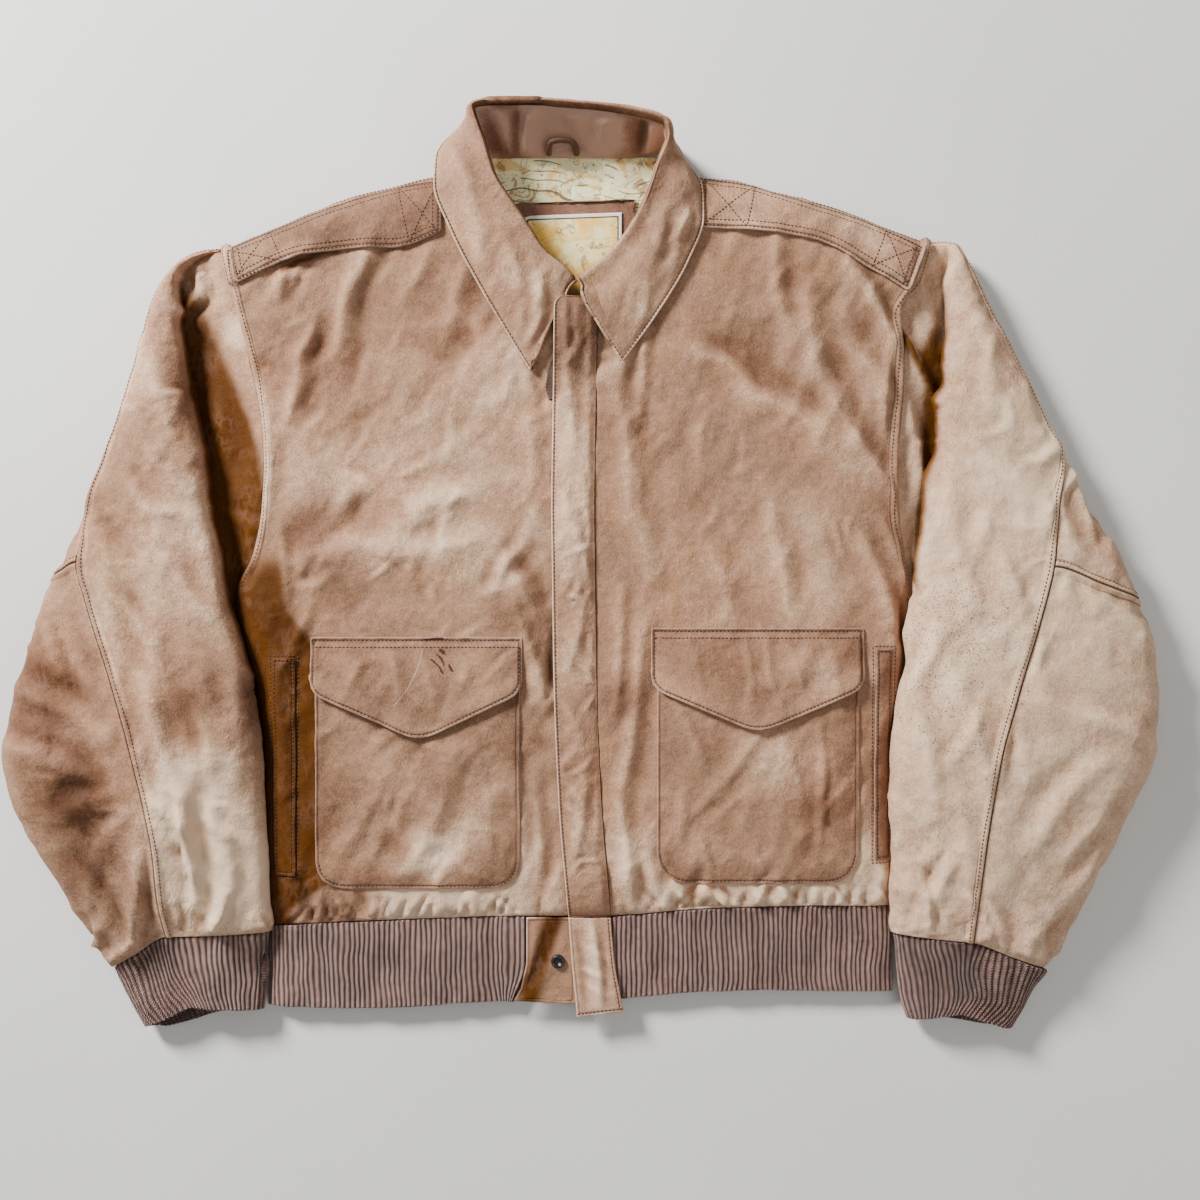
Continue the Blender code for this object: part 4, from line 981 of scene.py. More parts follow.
def leather_finish(name, tones, shine=0.62, gloss=0.08, cracks=1.0, torn=False, specked=False):
    """Worn leather: colour by its fading, pale at worn edges, dark by its stitches, with painted light and
    shade.
    """
    f = Finish(name, Roughness=shine, Specular_IOR_Level=gloss)
    cloudy = f.noise(64, 3, 0.55)
    blotch = f.noise(19, 4, 0.62, warp=0.6)
    mottled = f.noise(5.5, 4, 0.65)
    nap = f.noise(1.5, 3, 0.65, stretch=(1.5, 0.75, 1.0))
    crest, edge, sewn, shade = f.mark("crest"), f.mark("edge"), f.mark("sewn"), f.mark("shade")
    grain = f.noise(0.8, 2, 0.7)
    # The fade mark holds the leather's own fading together with painted shade and painted highlights; crest
    # paints raised folds lighter and hollows darker.
    tone = f.mark("fade") + (cloudy - 0.5) * 0.32 + (blotch - 0.5) * 0.26 + (mottled - 0.5) * 0.30
    tone = tone + crest * 0.055 + (nap - 0.5) * 0.55 + (grain - 0.5) * 0.45
    dark, brown, tan, pale = tones
    colour = f.ramp(tone, [(0.0, dark), (1.0, pale), (0.33, brown), (0.66, tan)])
    rosy = f.noise(90, 2).step(0.40, 0.62)
    colour = f.mix(rosy * 0.4, colour, (1.0, 0.87, 0.84), "MULTIPLY")
    ochre = f.noise(52, 3, 0.6, warp=0.5).step(0.56, 0.74)
    colour = f.mix(ochre * 0.4, colour, (1.0, 0.86, 0.62), "MULTIPLY")
    rim = (1.0 - (edge / 1.1).step(0.3, 1.0)) * f.mark("worn") * (0.55 + mottled * 0.6)
    colour = f.mix(rim, colour, (0.78, 0.60, 0.48))
    line = 1.0 - (sewn / 1.1).step(0.1, 1.0)
    colour = f.mix(line * 0.7, colour, (0.12, 0.055, 0.033))
    # Painted shade in the hollows of the folds.
    hollow_shade = (-crest).step(0.7, 3.1)
    colour = f.mix(hollow_shade * 0.38, colour, (0.60, 0.47, 0.36), "MULTIPLY")
    if specked:
        specks = f.cells(2.1).step(0.34, 0.18) * (f.noise(9, 3) + f.mark("specks") * 0.22).step(0.60, 0.70)
        colour = f.mix(specks * f.mark("specks").step(0.05, 0.5) * 0.9, colour, (0.085, 0.04, 0.025))
    if torn:
        colour = f.mix(marked(f, SCUFFS) * 0.55, colour, (0.19, 0.095, 0.055))
        colour = f.mix(marked(f, TEARS, 0.55) * 0.95, colour, (0.045, 0.018, 0.010))
        colour = f.mix(marked(f, SCRATCHES, 0.06) * 0.5, colour, (0.62, 0.44, 0.33))
    # Painted shade: where the shade mark is set, the colour is drawn to the mid tan, then darkened to a deep
    # ochre brown.
    shade = (shade * (0.95 + blotch * 0.2)).step(0.0, 1.0)
    colour = f.mix(shade * 0.5, colour, tan)
    colour = f.mix(shade, colour, (0.215, 0.118, 0.014), "MULTIPLY")
    wrinkle = (1.0 - abs(f.noise(10, 2, 0.5, stretch=(1.3, 0.7, 1)) - 0.5) * 7.0).step(0.0, 1.0)
    where = f.noise(40, 2).step(0.44, 0.66) * 0.5 + f.mark("worked")
    facets = f.cells(17)
    small_facets = f.cells(8, wander=False)
    height = wrinkle * where * (-0.32 * cracks) + nap * 0.38 + mottled * 0.6 + grain * 0.2 - line * 0.4
    height = height + facets * where * 1.6 * cracks + small_facets * where * (0.6 * cracks)
    colour = f.mix(wrinkle * where * 0.25, colour, (0.30, 0.17, 0.12))
    rough = shine + (blotch - 0.5) * 0.2 - rim * 0.08
    return f.done(colour, height, rough)


def marked(f, marks, ragged=1.0):
    """Where a few marks are, with ragged edges."""
    x, y = (Value(f, f.node("SeparateXYZ", {0: f.place}).outputs[axis]) for axis in (0, 1))
    rough = (f.noise(2.6, 5, 0.8) - 0.5) * 6.5 * ragged
    total = None
    for mark in marks:
        run_x, run_y = mark.x2 - mark.x1, mark.y2 - mark.y1
        length = math.hypot(run_x, run_y)
        run_x, run_y = run_x / length, run_y / length
        ahead = (x - mark.x1) * run_x + (y - mark.y1) * run_y
        share = ahead / length
        side = (y - mark.y1) * run_x - (x - mark.x1) * run_y - share * (1.0 - share) * (4.0 * mark.bow)
        beyond = abs(share - 0.5) * length - length / 2
        away = abs(side) + beyond.math("MAXIMUM", beyond, 0.0) + rough
        inside = 1.0 - (away / mark.width).step(0.6, 1.3)
        total = inside if total is None else total.math("MAXIMUM", total, inside)
    return total


def knit_finish():
    """Rib knit: two columns of slanting loops on each rib, with painted shade between the ribs."""
    f = Finish("rib_knit", Roughness=0.92, Sheen_Weight=0.3, Specular_IOR_Level=0.2)
    rib, along = f.mark("rib"), f.mark("along")
    wander = (f.noise(3.0, 2) - 0.5) * 0.7
    loops = (along / 2.3 + rib * 0.9 + wander).fraction()
    loop = 1.0 - abs(loops - 0.5) * 2.0
    fuzz = f.noise(0.8, 3, 0.7)
    cloudy = f.noise(30, 4, 0.6)
    uneven_yarn = f.noise(4.5, 3, 0.6)
    # The rib term paints the crests of the ribs light and the grooves between them dark.
    tone = 0.90 - rib.power(1.15) * 0.84 + (loop - 0.5) * 0.7 + (fuzz - 0.5) * 1.5 + (cloudy - 0.5) * 0.7
    tone = tone + (uneven_yarn - 0.5) * 1.0 + f.mark("fade")
    colour = f.ramp(tone, [(0.0, (0.032, 0.012, 0.008)), (1.0, (0.43, 0.25, 0.205)),
                           (0.5, (0.150, 0.072, 0.054))])
    colour = f.mix(f.mark("shade"), colour, (0.27, 0.125, 0.03), "MULTIPLY")
    lint = f.cells(9).step(0.05, 0.03) * f.noise(50, 2).step(0.5, 0.6)
    colour = f.mix(lint * 0.7, colour, (0.62, 0.5, 0.4))
    return f.done(colour, loop * 0.8 + fuzz * 0.8)


def lining_finish():
    """Cream satin with an ochre marbled print and a few fine brown swirls."""
    f = Finish("marbled_lining", Roughness=0.38, Specular_IOR_Level=0.5)
    swirl = f.noise(30, 2, 0.4, warp=3.0)
    bands = abs((swirl * 4.0).fraction() - 0.5)
    fine_line = 1.0 - bands.step(0.02, 0.07)
    ochre = f.noise(34, 5, 0.7, warp=1.2).step(0.52, 0.62)
    brown = f.noise(19, 5, 0.75, warp=1.0).step(0.56, 0.61)
    colour = f.mix(ochre * 0.8, (1.0, 0.94, 0.53), (0.84, 0.50, 0.12))
    colour = f.mix(brown * 0.8, colour, (0.40, 0.21, 0.08))
    curl = f.node("TexWave", {"Vector": f.place, "Scale": 0.018, "Distortion": 9.0, "Detail": 1.0,
                              "Detail Scale": 0.9}, wave_type="RINGS")
    scroll = 1.0 - abs(Value(f, curl.outputs["Fac"]) - 0.5).step(0.05, 0.16)
    colour = f.mix(scroll * f.noise(26, 1).step(0.46, 0.56) * 0.9, colour, (0.10, 0.075, 0.05))
    colour = f.mix(fine_line * 0.75, colour, (0.16, 0.11, 0.065))
    colour = f.mix(f.mark("shade"), colour, (0.15, 0.07, 0.022), "MULTIPLY")
    weave = f.noise(0.6, 2)
    return f.done(colour, weave * 0.1 + f.noise(14, 3) * 2.2, 0.42 + f.noise(20, 2) * 0.2)


def patch_finish():
    """An aged printed patch: ochre clouds and sprigs inside a dark line and a pale margin."""
    f = Finish("printed_patch", Roughness=0.7)
    edge = f.mark("edge")
    clouds = f.noise(40, 5, 0.72, warp=0.8).step(0.40, 0.58)
    colour = f.mix(clouds, (1.0, 0.88, 0.44), (0.93, 0.55, 0.10))
    stains = f.noise(17, 6, 0.85).step(0.55, 0.60)
    colour = f.mix(stains * 0.8, colour, (0.42, 0.20, 0.05))
    drift = abs((f.noise(46, 1, 0.4, warp=1.5) * 7.0).fraction() - 0.5)
    colour = f.mix((1.0 - drift.step(0.01, 0.045)) * 0.6, colour, (0.20, 0.13, 0.09))
    dots = f.cells(4.2).step(0.16, 0.10) * f.noise(20, 2).step(0.48, 0.56)
    colour = f.mix(dots * 0.7, colour, (0.22, 0.13, 0.07))
    margin = 1.0 - edge.step(2.6, 3.0)
    colour = f.mix(margin, colour, (0.88, 0.82, 0.68))
    line = edge.step(2.6, 2.9) * (1.0 - edge.step(3.8, 4.2))
    colour = f.mix(line, colour, (0.05, 0.04, 0.04))
    colour = f.mix(f.mark("shade"), colour, (0.15, 0.07, 0.022), "MULTIPLY")
    return f.done(colour, f.noise(0.8, 2) * 0.12)


def thread_finish():
    """Dark brown sewing thread."""
    f = Finish("brown_thread", Roughness=0.75)
    tone = f.noise(2.5, 3)
    colour = f.ramp(tone, [(0.2, (0.022, 0.009, 0.006)), (0.8, (0.085, 0.042, 0.027))])
    return f.done(colour, f.noise(0.3, 2) * 0.1)


def metal_finish(name, dark, light, shine):
    """Metal with its finish rubbed off in places."""
    f = Finish(name, Roughness=shine, Metallic=0.85)
    rubbed = f.noise(3.0, 4, 0.7)
    return f.done(f.ramp(rubbed, [(0.35, dark), (0.7, light)]), rubbed * 0.1, shine + (rubbed - 0.5) * 0.3)


def tape_finish():
    """The zip's woven tape."""
    f = Finish("zip_tape", Roughness=0.85)
    rows = (Value(f, f.node("SeparateXYZ", {0: f.place}).outputs[1]) * 5.0).sine()
    colour = f.ramp(rows * 0.3 + f.noise(1.5, 3), [(0.2, (0.03, 0.014, 0.008)), (0.9, (0.12, 0.06, 0.035))])
    return f.done(colour, rows * 0.08)


def floor_finish():
    """A plain pale floor."""
    f = Finish("pale_floor", Roughness=0.8)
    colour = f.ramp(f.noise(300, 1), [(0.3, (0.70, 0.69, 0.67)), (0.7, (0.74, 0.73, 0.71))])
    return f.done(colour, f.noise(2.0, 0) * 0.1)


# ---- pieces --------------------------------------------------------------------------------------

Spot = namedtuple("Spot", "x y reach amount")


def spotted(spots, x, y):
    """The sum of soft round spots."""
    total = np.zeros_like(x)
    for spot in spots:
        total += spot.amount * np.exp(-((x - spot.x) ** 2 + (y - spot.y) ** 2) / spot.reach ** 2)
    return total


CUTS = {
    "back": Cut(610, 655, 0.93, ["floor"]),
    "waistband_back": Cut(538, 78, 1.0, ["floor"]),
    "front_right": Cut(310, 655, 0.93, ["back"]),
    "front_left": Cut(295, 650, 0.93, ["back"]),
    "waistband_right": Cut(226, 78, 1.0, ["waistband_back"]),
    "waistband_left": Cut(242, 76, 1.0, ["waistband_back"]),
    "sleeve_right_front": Cut(230, 610, 0.7, ["floor"]),
    "sleeve_right_back_upper": Cut(200, 330, 0.55, ["floor"]),
    "sleeve_right_back_lower": Cut(250, 360, 0.8, ["floor"]),
    "sleeve_left_front": Cut(230, 620, 0.66, ["floor"]),
    "sleeve_left_back_upper": Cut(220, 340, 0.55, ["floor"]),
    "sleeve_left_back_lower": Cut(250, 350, 0.8, ["floor"]),
    "cuff_right": Cut(290, 62, 1.0, ["floor"]),
    "cuff_left": Cut(275, 62, 1.0, ["floor"]),
    "pocket_right": Cut(176, 211, 0.98, ["front_right"]),
    "pocket_left": Cut(174, 215, 0.98, ["front_left"]),
    "pocket_flap_right": Cut(182, 87, 0.78, ["pocket_right"]),
    "pocket_flap_left": Cut(183, 88, 0.78, ["pocket_left"]),
    "welt_right": Cut(20, 188, 1.0, ["front_right"]),
    "welt_left": Cut(16, 183, 1.0, ["front_left"]),
    "epaulette_right": Cut(192, 46, 1.0, ["front_right"]),
    "epaulette_left": Cut(198, 46, 1.0, ["front_left"]),
    "wind_flap": Cut(37, 532, 1.0, ["front_right"]),
    "tab_left": Cut(39, 88, 1.0, ["tab_right"]),
    "tab_right": Cut(54, 76, 0.95, ["waistband_back"]),
    "zip": Cut(14, 36, 0.85, ["front_right"]),
    "collar": Cut(620, 80, 0.9, ["front_right", "front_left"]),
    "collar_stand": Cut(330, 34, 0.9, ["neck_lining"]),
    "neck_lining": Cut(154, 128, 0.75, ["back"]),
    "neck_patch_border": Cut(107, 72, 0.98, ["neck_lining"]),
    "neck_patch": Cut(84, 88, 0.9, ["neck_patch_border"]),
}

# Each panel's fade: a base and soft spots; many spots are painted shade on the shadowed sides of folds and
# beside the sleeves, others painted light on lit swells.
FADE_AND_PAINTED_LIGHT = {
    "front_right": (0.55, rows_of(
        Spot, (-130, 60, 60, 0.16), (-80, -10, 45, 0.16), (-210, 160, 40, -0.08), (-60, 170, 50, 0.05),
        (-250, 208, 40, -0.16), (-126, -286, 50, 0.72), (-214, -288, 20, -0.12), (-230, 90, 50, 0.05),
        (-46, -42, 28, -0.42), (-40, -150, 22, -0.14), (-150, -8, 40, -0.12), (-230, -29, 14, -0.12),
        (-208, -20, 15, -0.10), (-235, 26, 24, -0.34), (-254, -50, 20, -0.25), (-34, 30, 16, 0.14),
        (-70, -290, 60, 0.30), (-90, 130, 50, 0.06))),
    "front_left": (0.54, rows_of(
        Spot, (140, 200, 70, -0.03), (60, 60, 60, -0.02), (200, 40, 60, 0.02), (36, -110, 20, -0.34),
        (110, -286, 60, 0.48), (225, -284, 60, 0.56), (270, 40, 30, -0.12), (44, -240, 24, 0.22),
        (60, 30, 26, 0.10), (200, 0, 40, 0.10), (180, 160, 50, 0.05))),
    "sleeve_right": (0.60, rows_of(
        Spot, (-385, 190, 50, 0.10), (-319, 243, 24, 0.14), (-340, 20, 60, 0.14), (-297, 208, 16, 0.36),
        (-327, -196, 30, 0.66), (-296, -264, 36, 0.86), (-342, -262, 16, 0.26), (-310, -230, 70, 0.24),
        (-450, -120, 50, -0.26), (-480, -90, 50, -0.16), (-424, -194, 30, -0.74), (-450, -112, 34, -0.16),
        (-412, -248, 26, -0.52), (-400, -292, 20, -0.20), (-378, -270, 16, -0.26), (-300, -110, 36, -0.20),
        (-425, 60, 40, -0.10))),
    "sleeve_left": (0.82, rows_of(
        Spot, (336, 62, 40, 0.10), (330, -60, 90, 0.06), (330, 200, 50, -0.02), (300, -260, 60, 0.04),
        (390, 90, 60, 0.10), (430, -40, 40, 0.05), (440, 40, 30, -0.14))),
}
SPECKS = rows_of(
    Spot, (318, -35, 44, 1.0), (306, -90, 50, 0.9), (325, -200, 70, 0.35), (380, -120, 60, 0.25))

TAN = ((0.072, 0.030, 0.014), (0.180, 0.092, 0.053), (0.388, 0.222, 0.136), (0.745, 0.540, 0.372))
DARK = ((0.06, 0.022, 0.009), (0.135, 0.058, 0.029), (0.27, 0.132, 0.082), (0.52, 0.31, 0.225))


def fade_and_painted_light_of(key, grid):
    """How much a panel has faded at each point, with the painted light and shade of its spots."""
    base, spots = FADE_AND_PAINTED_LIGHT[key]
    return base + spotted(spots, grid[..., 0], grid[..., 1])


FRONT_CREASES = {
    RIGHT: rows_of(
        Crease, (-188, 268, -206, 205, -4, 11, 3.0), (-205, 250, -222, 190, 3, 8, -0.8),
        (-190, 190, -196, 160, 0, 6, -1.2), (-240, 185, -256, 120, 4, 8, 1.8),
        (-268, 150, -270, 60, 3, 7, 1.4), (-196, 82, -176, 68, 2, 5, 1.3),
        (-200, 44, -176, 66, 3, 8, -1.1), (-150, 40, -96, 66, 6, 13, 1.4), (-244, 8, -172, 20, 6, 16, 2.0),
        (-170, 14, -85, 30, -5, 14, 1.8), (-258, 36, -253, -34, 2, 5, 1.1), (-72, -12, -50, 22, 3, 6, 1.6),
        (-58, -30, -36, -95, 4, 7, 1.8), (-30, -40, -34, -110, 2, 5, 1.2),
        (-130, 272, -150, 240, 2, 7, 1.2), (-96, 262, -112, 210, -3, 10, 1.2),
        (-234, -30, -254, -80, 2, 7, 1.6), (-44, 120, -40, 60, 2, 8, 1.0), (-52, 186, -40, 150, 1, 5, 1.0),
        (-262, -90, -256, -200, 2, 6, 1.0), (-40, -180, -36, -262, 2, 6, 1.4),
        (-58, -150, -50, -250, 2, 7, 1.2), (-66, 10, -34, -60, 5, 8, 2.4),
        (-46, -60, -30, -110, 3, 7, 1.8), (-228, 216, -242, 186, 3, 6, 1.4),
        (-252, 258, -258, 236, 0, 5, 1.6), (-240, 262, -250, 240, 0, 4, 1.4)),
    LEFT: rows_of(
        Crease, (168, 288, 176, 216, -4, 9, 1.8), (104, 186, 150, 150, 8, 10, 2.0),
        (150, 150, 246, 88, 6, 13, 2.6), (196, 225, 236, 120, -10, 12, 2.4),
        (236, 120, 268, 70, 0, 8, 2.2), (220, 200, 268, 150, 4, 9, 1.4), (164, 34, 178, -28, 4, 10, 1.8),
        (246, 20, 270, -60, 6, 8, 2.8), (262, 40, 280, -20, 2, 7, 2.0), (34, 148, 42, 52, 3, 9, 1.6),
        (52, 100, 60, 0, -4, 10, 1.2), (52, -56, 34, -196, 4, 8, 1.8), (36, -210, 44, -290, 2, 7, 1.8),
        (58, -250, 74, -292, 0, 7, 1.4), (110, 20, 130, -40, 3, 10, 1.0), (36, -20, 30, -120, 1, 6, 1.2),
        (108, -276, 128, -290, 0, 5, 2.2), (150, -272, 164, -290, 0, 5, 2.0),
        (182, -274, 172, -291, 0, 5, 1.8), (82, -268, 96, -290, 0, 5, 1.5),
        (232, 262, 266, 204, 3, 7, 2.8), (268, 196, 262, 110, -3, 6, 1.8), (42, 230, 36, 170, 2, 6, 1.4),
        (54, 214, 50, 140, 2, 6, 1.4)),
}
SLEEVE_CREASES = {
    RIGHT: rows_of(
        Crease, (-470, -104, -396, -146, 6, 12, 3.4), (-404, -10, -386, -96, 4, 10, 2.4),
        (-340, -178, -330, -284, 4, 9, 2.6), (-330, 60, -312, -30, 4, 9, 2.0),
        (-376, 190, -350, 120, 6, 12, 1.8), (-420, 40, -396, 0, 4, 9, 1.8),
        (-360, -60, -344, -150, -4, 12, 1.8), (-480, -150, -420, -176, 4, 9, 2.2),
        (-300, -60, -290, -170, 3, 10, 1.6), (-440, -210, -396, -190, 4, 9, 2.0),
        (-400, -250, -372, -300, 3, 8, 1.8), (-430, -60, -410, -110, 2, 7, 1.4),
        (-300, -230, -296, -300, 2, 7, 1.4), (-356, -280, -350, -320, 0, 6, 1.6),
        (-320, 150, -306, 90, 2, 8, 1.5), (-331, 262, -345, 226, 9, 5, 3.2),
        (-345, 254, -338, 230, 3, 4, 2.0), (-302, -276, -313, -306, 2, 4, 2.6),
        (-345, -284, -342, -308, 0, 4, 2.4), (-372, -242, -384, -320, 3, 6, 3.0),
        (-421, -258, -394, -322, 4, 6, 2.6), (-343, -220, -333, -276, 2, 5, -2.6),
        (-453, -100, -456, -160, 2, 5, 2.2), (-452, -52, -436, -88, 0, 5, 2.2),
        (-410, -240, -388, -208, 2, 6, 2.0), (-384, -28, -370, -54, 2, 5, 2.0),
        (-375, -78, -348, -160, 5, 7, 2.0), (-360, -194, -330, -226, 4, 6, 2.0),
        (-330, -120, -318, -170, 2, 5, -1.6)),
    LEFT: rows_of(
        Crease, (345, 92, 420, 20, 8, 12, 2.4), (300, -60, 345, -190, 8, 12, 2.4),
        (385, -230, 440, -160, 6, 10, 2.6), (300, -285, 320, -240, 2, 8, 2.4),
        (330, 230, 352, 150, 5, 10, 1.6), (316, 60, 330, -20, -4, 10, 1.6),
        (430, -20, 480, -60, 4, 9, 1.8), (420, -120, 486, -150, 4, 10, 2.0),
        (370, -60, 392, -140, 4, 12, 1.4), (350, -290, 372, -320, 0, 6, 2.2),
        (386, -296, 396, -330, 0, 6, 1.8), (284, -110, 300, -200, 3, 9, 1.4),
        (320, -200, 330, -260, 2, 9, 1.4), (440, 40, 470, 4, 2, 7, 1.4), (274, 213, 312, 140, 0, 6, 3.0),
        (290, 262, 300, 226, 0, 5, 2.0), (284, 140, 300, 60, 2, 6, 2.0), (292, -262, 300, -300, 0, 4, 2.2),
        (330, -276, 346, -304, 2, 4, 2.2), (420, 84, 436, 30, 2, 5, 1.8),
        (404, -290, 386, -312, 2, 5, 2.0), (448, -190, 412, -240, 3, 7, 2.0),
        (356, 10, 372, -30, 2, 6, 1.4)),
}


FOLD_GAIN = 2.2       # how far the creases stand out
SIDE_OUT = 7.0        # the fronts' sides run this far under the sleeves


def puckers(x, y, away, seed):
    """Short gathers where soft cloth is sewn to a rib: small pillows with pinched hollows between them."""
    lean = x + 0.6 * away * uneven(x, y * 0, 45, seed + 2) + 2.0 * uneven(x, y, 8, seed + 4)
    pinch = np.exp(-(uneven(lean, y * 0 + 9.0, 18, seed) * 8.0) ** 2)
    fine_pinch = np.exp(-(uneven(lean, y * 0.05 + 4.0, 9, seed + 1) * 6.0) ** 2)
    length = 15 + 10 * uneven(x, y * 0, 24, seed + 3)
    return bell(away, length) * ramp_up(away, 0, 1.5) * (1.9 - 3.2 * pinch - 1.8 * fine_pinch)


def nicks(side, seed):
    """Short sharp hollows along the hem, slanting to either side."""
    pick = np.random.default_rng(seed)
    made, reach = [], 56.0
    while reach < 282:
        foot = between(HEM[side], reach)
        tall, lean = pick.uniform(9, 20), pick.choice((-1, 1)) * pick.uniform(0.25, 0.95)
        made.append(Crease(side * reach, foot + 1, side * reach + lean * tall, foot + 1 + tall,
                           pick.uniform(-2, 2), 2.4, -pick.uniform(1.6, 3.0)))
        reach += pick.uniform(6, 15)
    return made


def make_front(side, word, finish, sewing):
    """A front: folds, the band along the armhole, and small gathers over the waistband."""
    grid, _, _ = fine(front_rows(side))
    arm, closing = from_side(grid, 1), from_side(grid, 1, True)
    hem, top = from_side(grid, 0), from_side(grid, 0, True)
    below = 1 - ramp_up(grid[..., 1], -42, -18)
    grid[..., 0] += side * SIDE_OUT * below * np.exp(-arm / 22)
    x, y = grid[..., 0], grid[..., 1]
    armhole = ramp_up(y, -30, 0)
    strewn = scattered(26, (-290, -300, 290, -262), 34, 5, 1.1, 90, 11 + side)
    strewn += scattered(34, (-290, -260, 290, 280), 46, 6, 0.8, 70, 21 + side)
    strewn += scattered(90, (-290, -280, 290, 280), 24, 3.4, 0.6, 60, 25 + side)
    depth = FOLD_GAIN * (creased(FRONT_CREASES[side] + strewn, x, y) + crumpled(x, y, 31 + side, 0.75))
    reach = abs(x)
    gather = puckers(x, y, hem, 51 + side) + creased(nicks(side, 41 + side), x, y)
    on_seam = np.exp(-top / 9) * ramp_up(reach, 110, 150) * (1 - ramp_up(reach, 230, 280))
    gather = gather + on_seam * uneven(x, y * 0.3, 5.5, 57 + side) * 1.1
    calm = ramp_up(arm, 0.0, 9.0) * ramp_up(top, 0.0, 5.0)
    depth = (depth * ramp_up(hem, 0.0, 9.0) + gather * ramp_up(hem, 0.0, 2.0)) * calm
    crest = depth.clip(-3, 3)
    banded = armhole * ramp_up(arm, 0.2, 1.2) * (1 - ramp_up(arm, ARM_BAND - 0.6, ARM_BAND + 0.6))
    over_strap = banded * ramp_up(y, EPAULETTE[side][6][1] - 3, EPAULETTE[side][6][1] + 3)
    depth = depth + seam_band(arm, 3.4, ARM_BAND) * armhole + over_strap * (STRAP + SEAM)
    normal = facing(grid, -side)
    high = np.clip((grid[..., 2:] - 8) / 8, 0, 1)
    grid = grid + normal * depth[..., None] * high
    sewn = np.where(armhole > 0.5, abs(arm - ARM_BAND) * 0.8, 9.0)
    # On the right front: painted shade beside the sleeve and round the welt, and a painted shadow under the
    # epaulette's lifted lower edge.
    shade = 0.0 * x
    if side == RIGHT:
        border = np.interp(y, (-292, -268, -80, -56, -33, 28), (250, 218, 214, 234, 252, 257))
        shade = 0.97 * ramp_up(reach, border - 9, border + 7)
        shade = shade * (1 - 0.12 * ramp_up(y, -50, -10)) * (1 - ramp_up(y, -6, 36))
        away = from_line([(-254, 259), (-240, 266), (-220, 273), (-208, 275)], x, y)
        shade = np.maximum(shade, bell(away, 3.0))
    made = cloth(f"front_{word}", grid, WALL, finish, "leather", out=-side, shade=shade,
                 fade=fade_and_painted_light_of(f"front_{word}", grid) + 0.14 * banded,
                 crest=crest, sewn=np.minimum(sewn, abs(hem - EDGE_STITCH) + 0.4),
                 edge=np.min([arm, closing, hem, top], axis=0),
                 worn=0.6 * armhole * np.exp(-arm / 3),
                 worked=np.exp(-hem / 25) * 0.6 + np.exp(-arm / 14) * 0.3)
    keep = grid[:, 0, 1] > -14
    normal = facing(grid, -side)
    sewing.by_side(grid, normal, 1, ARM_BAND, keep=keep)
    for away in (3.0, 9.5, 14.0):
        sewing.by_side(grid, normal, 0, away, far=True)
    return made


STEP_DOWN = 1.7       # a sleeve starts this much lower than the band along its armhole
# How far a tube leans over the cloth beside it: y, and the lean
LEAN = {
    RIGHT: [(-400, 2.0), (-330, 3.5), (-60, 3.5), (-10, 2.0), (120, 2.0), (230, 4.0), (282, 0.0)],
    LEFT: [(-400, 0.0), (-330, 0.5), (-60, 1.0), (0, 2.5), (120, 5.0), (250, 6.0), (285, 0.0)],
}
# How dark the painted shade in the valley beside a tube is: y, and the share
VALLEY_SHADE = {
    RIGHT: [(-120, 0.0), (-80, 0.9), (-30, 1.0), (150, 1.0), (190, 0.95), (230, 0.85), (255, 0.4),
            (270, 0.0)],
    LEFT: [(-60, 0.0), (-20, 0.8), (130, 0.95), (190, 0.95), (215, 0.5), (270, 0.3), (290, 0.0)],
}
# Where that shade starts, as a share of the way from the armhole to the tube
VALLEY_START = {
    RIGHT: [(-20, -0.6), (45, -0.4), (79, -0.16), (108, -0.06), (146, 0.10), (215, 0.38), (270, 0.5)],
    LEFT: [(-20, 0.50), (23, 0.62), (80, 0.62), (130, 0.50), (190, 0.2), (215, 0.5), (280, 0.6)],
}


def read_at(table, y):
    """Read a table of (y, value) pairs at many places."""
    table = np.array(table, float)
    return np.interp(y, table[:, 0], table[:, 1])


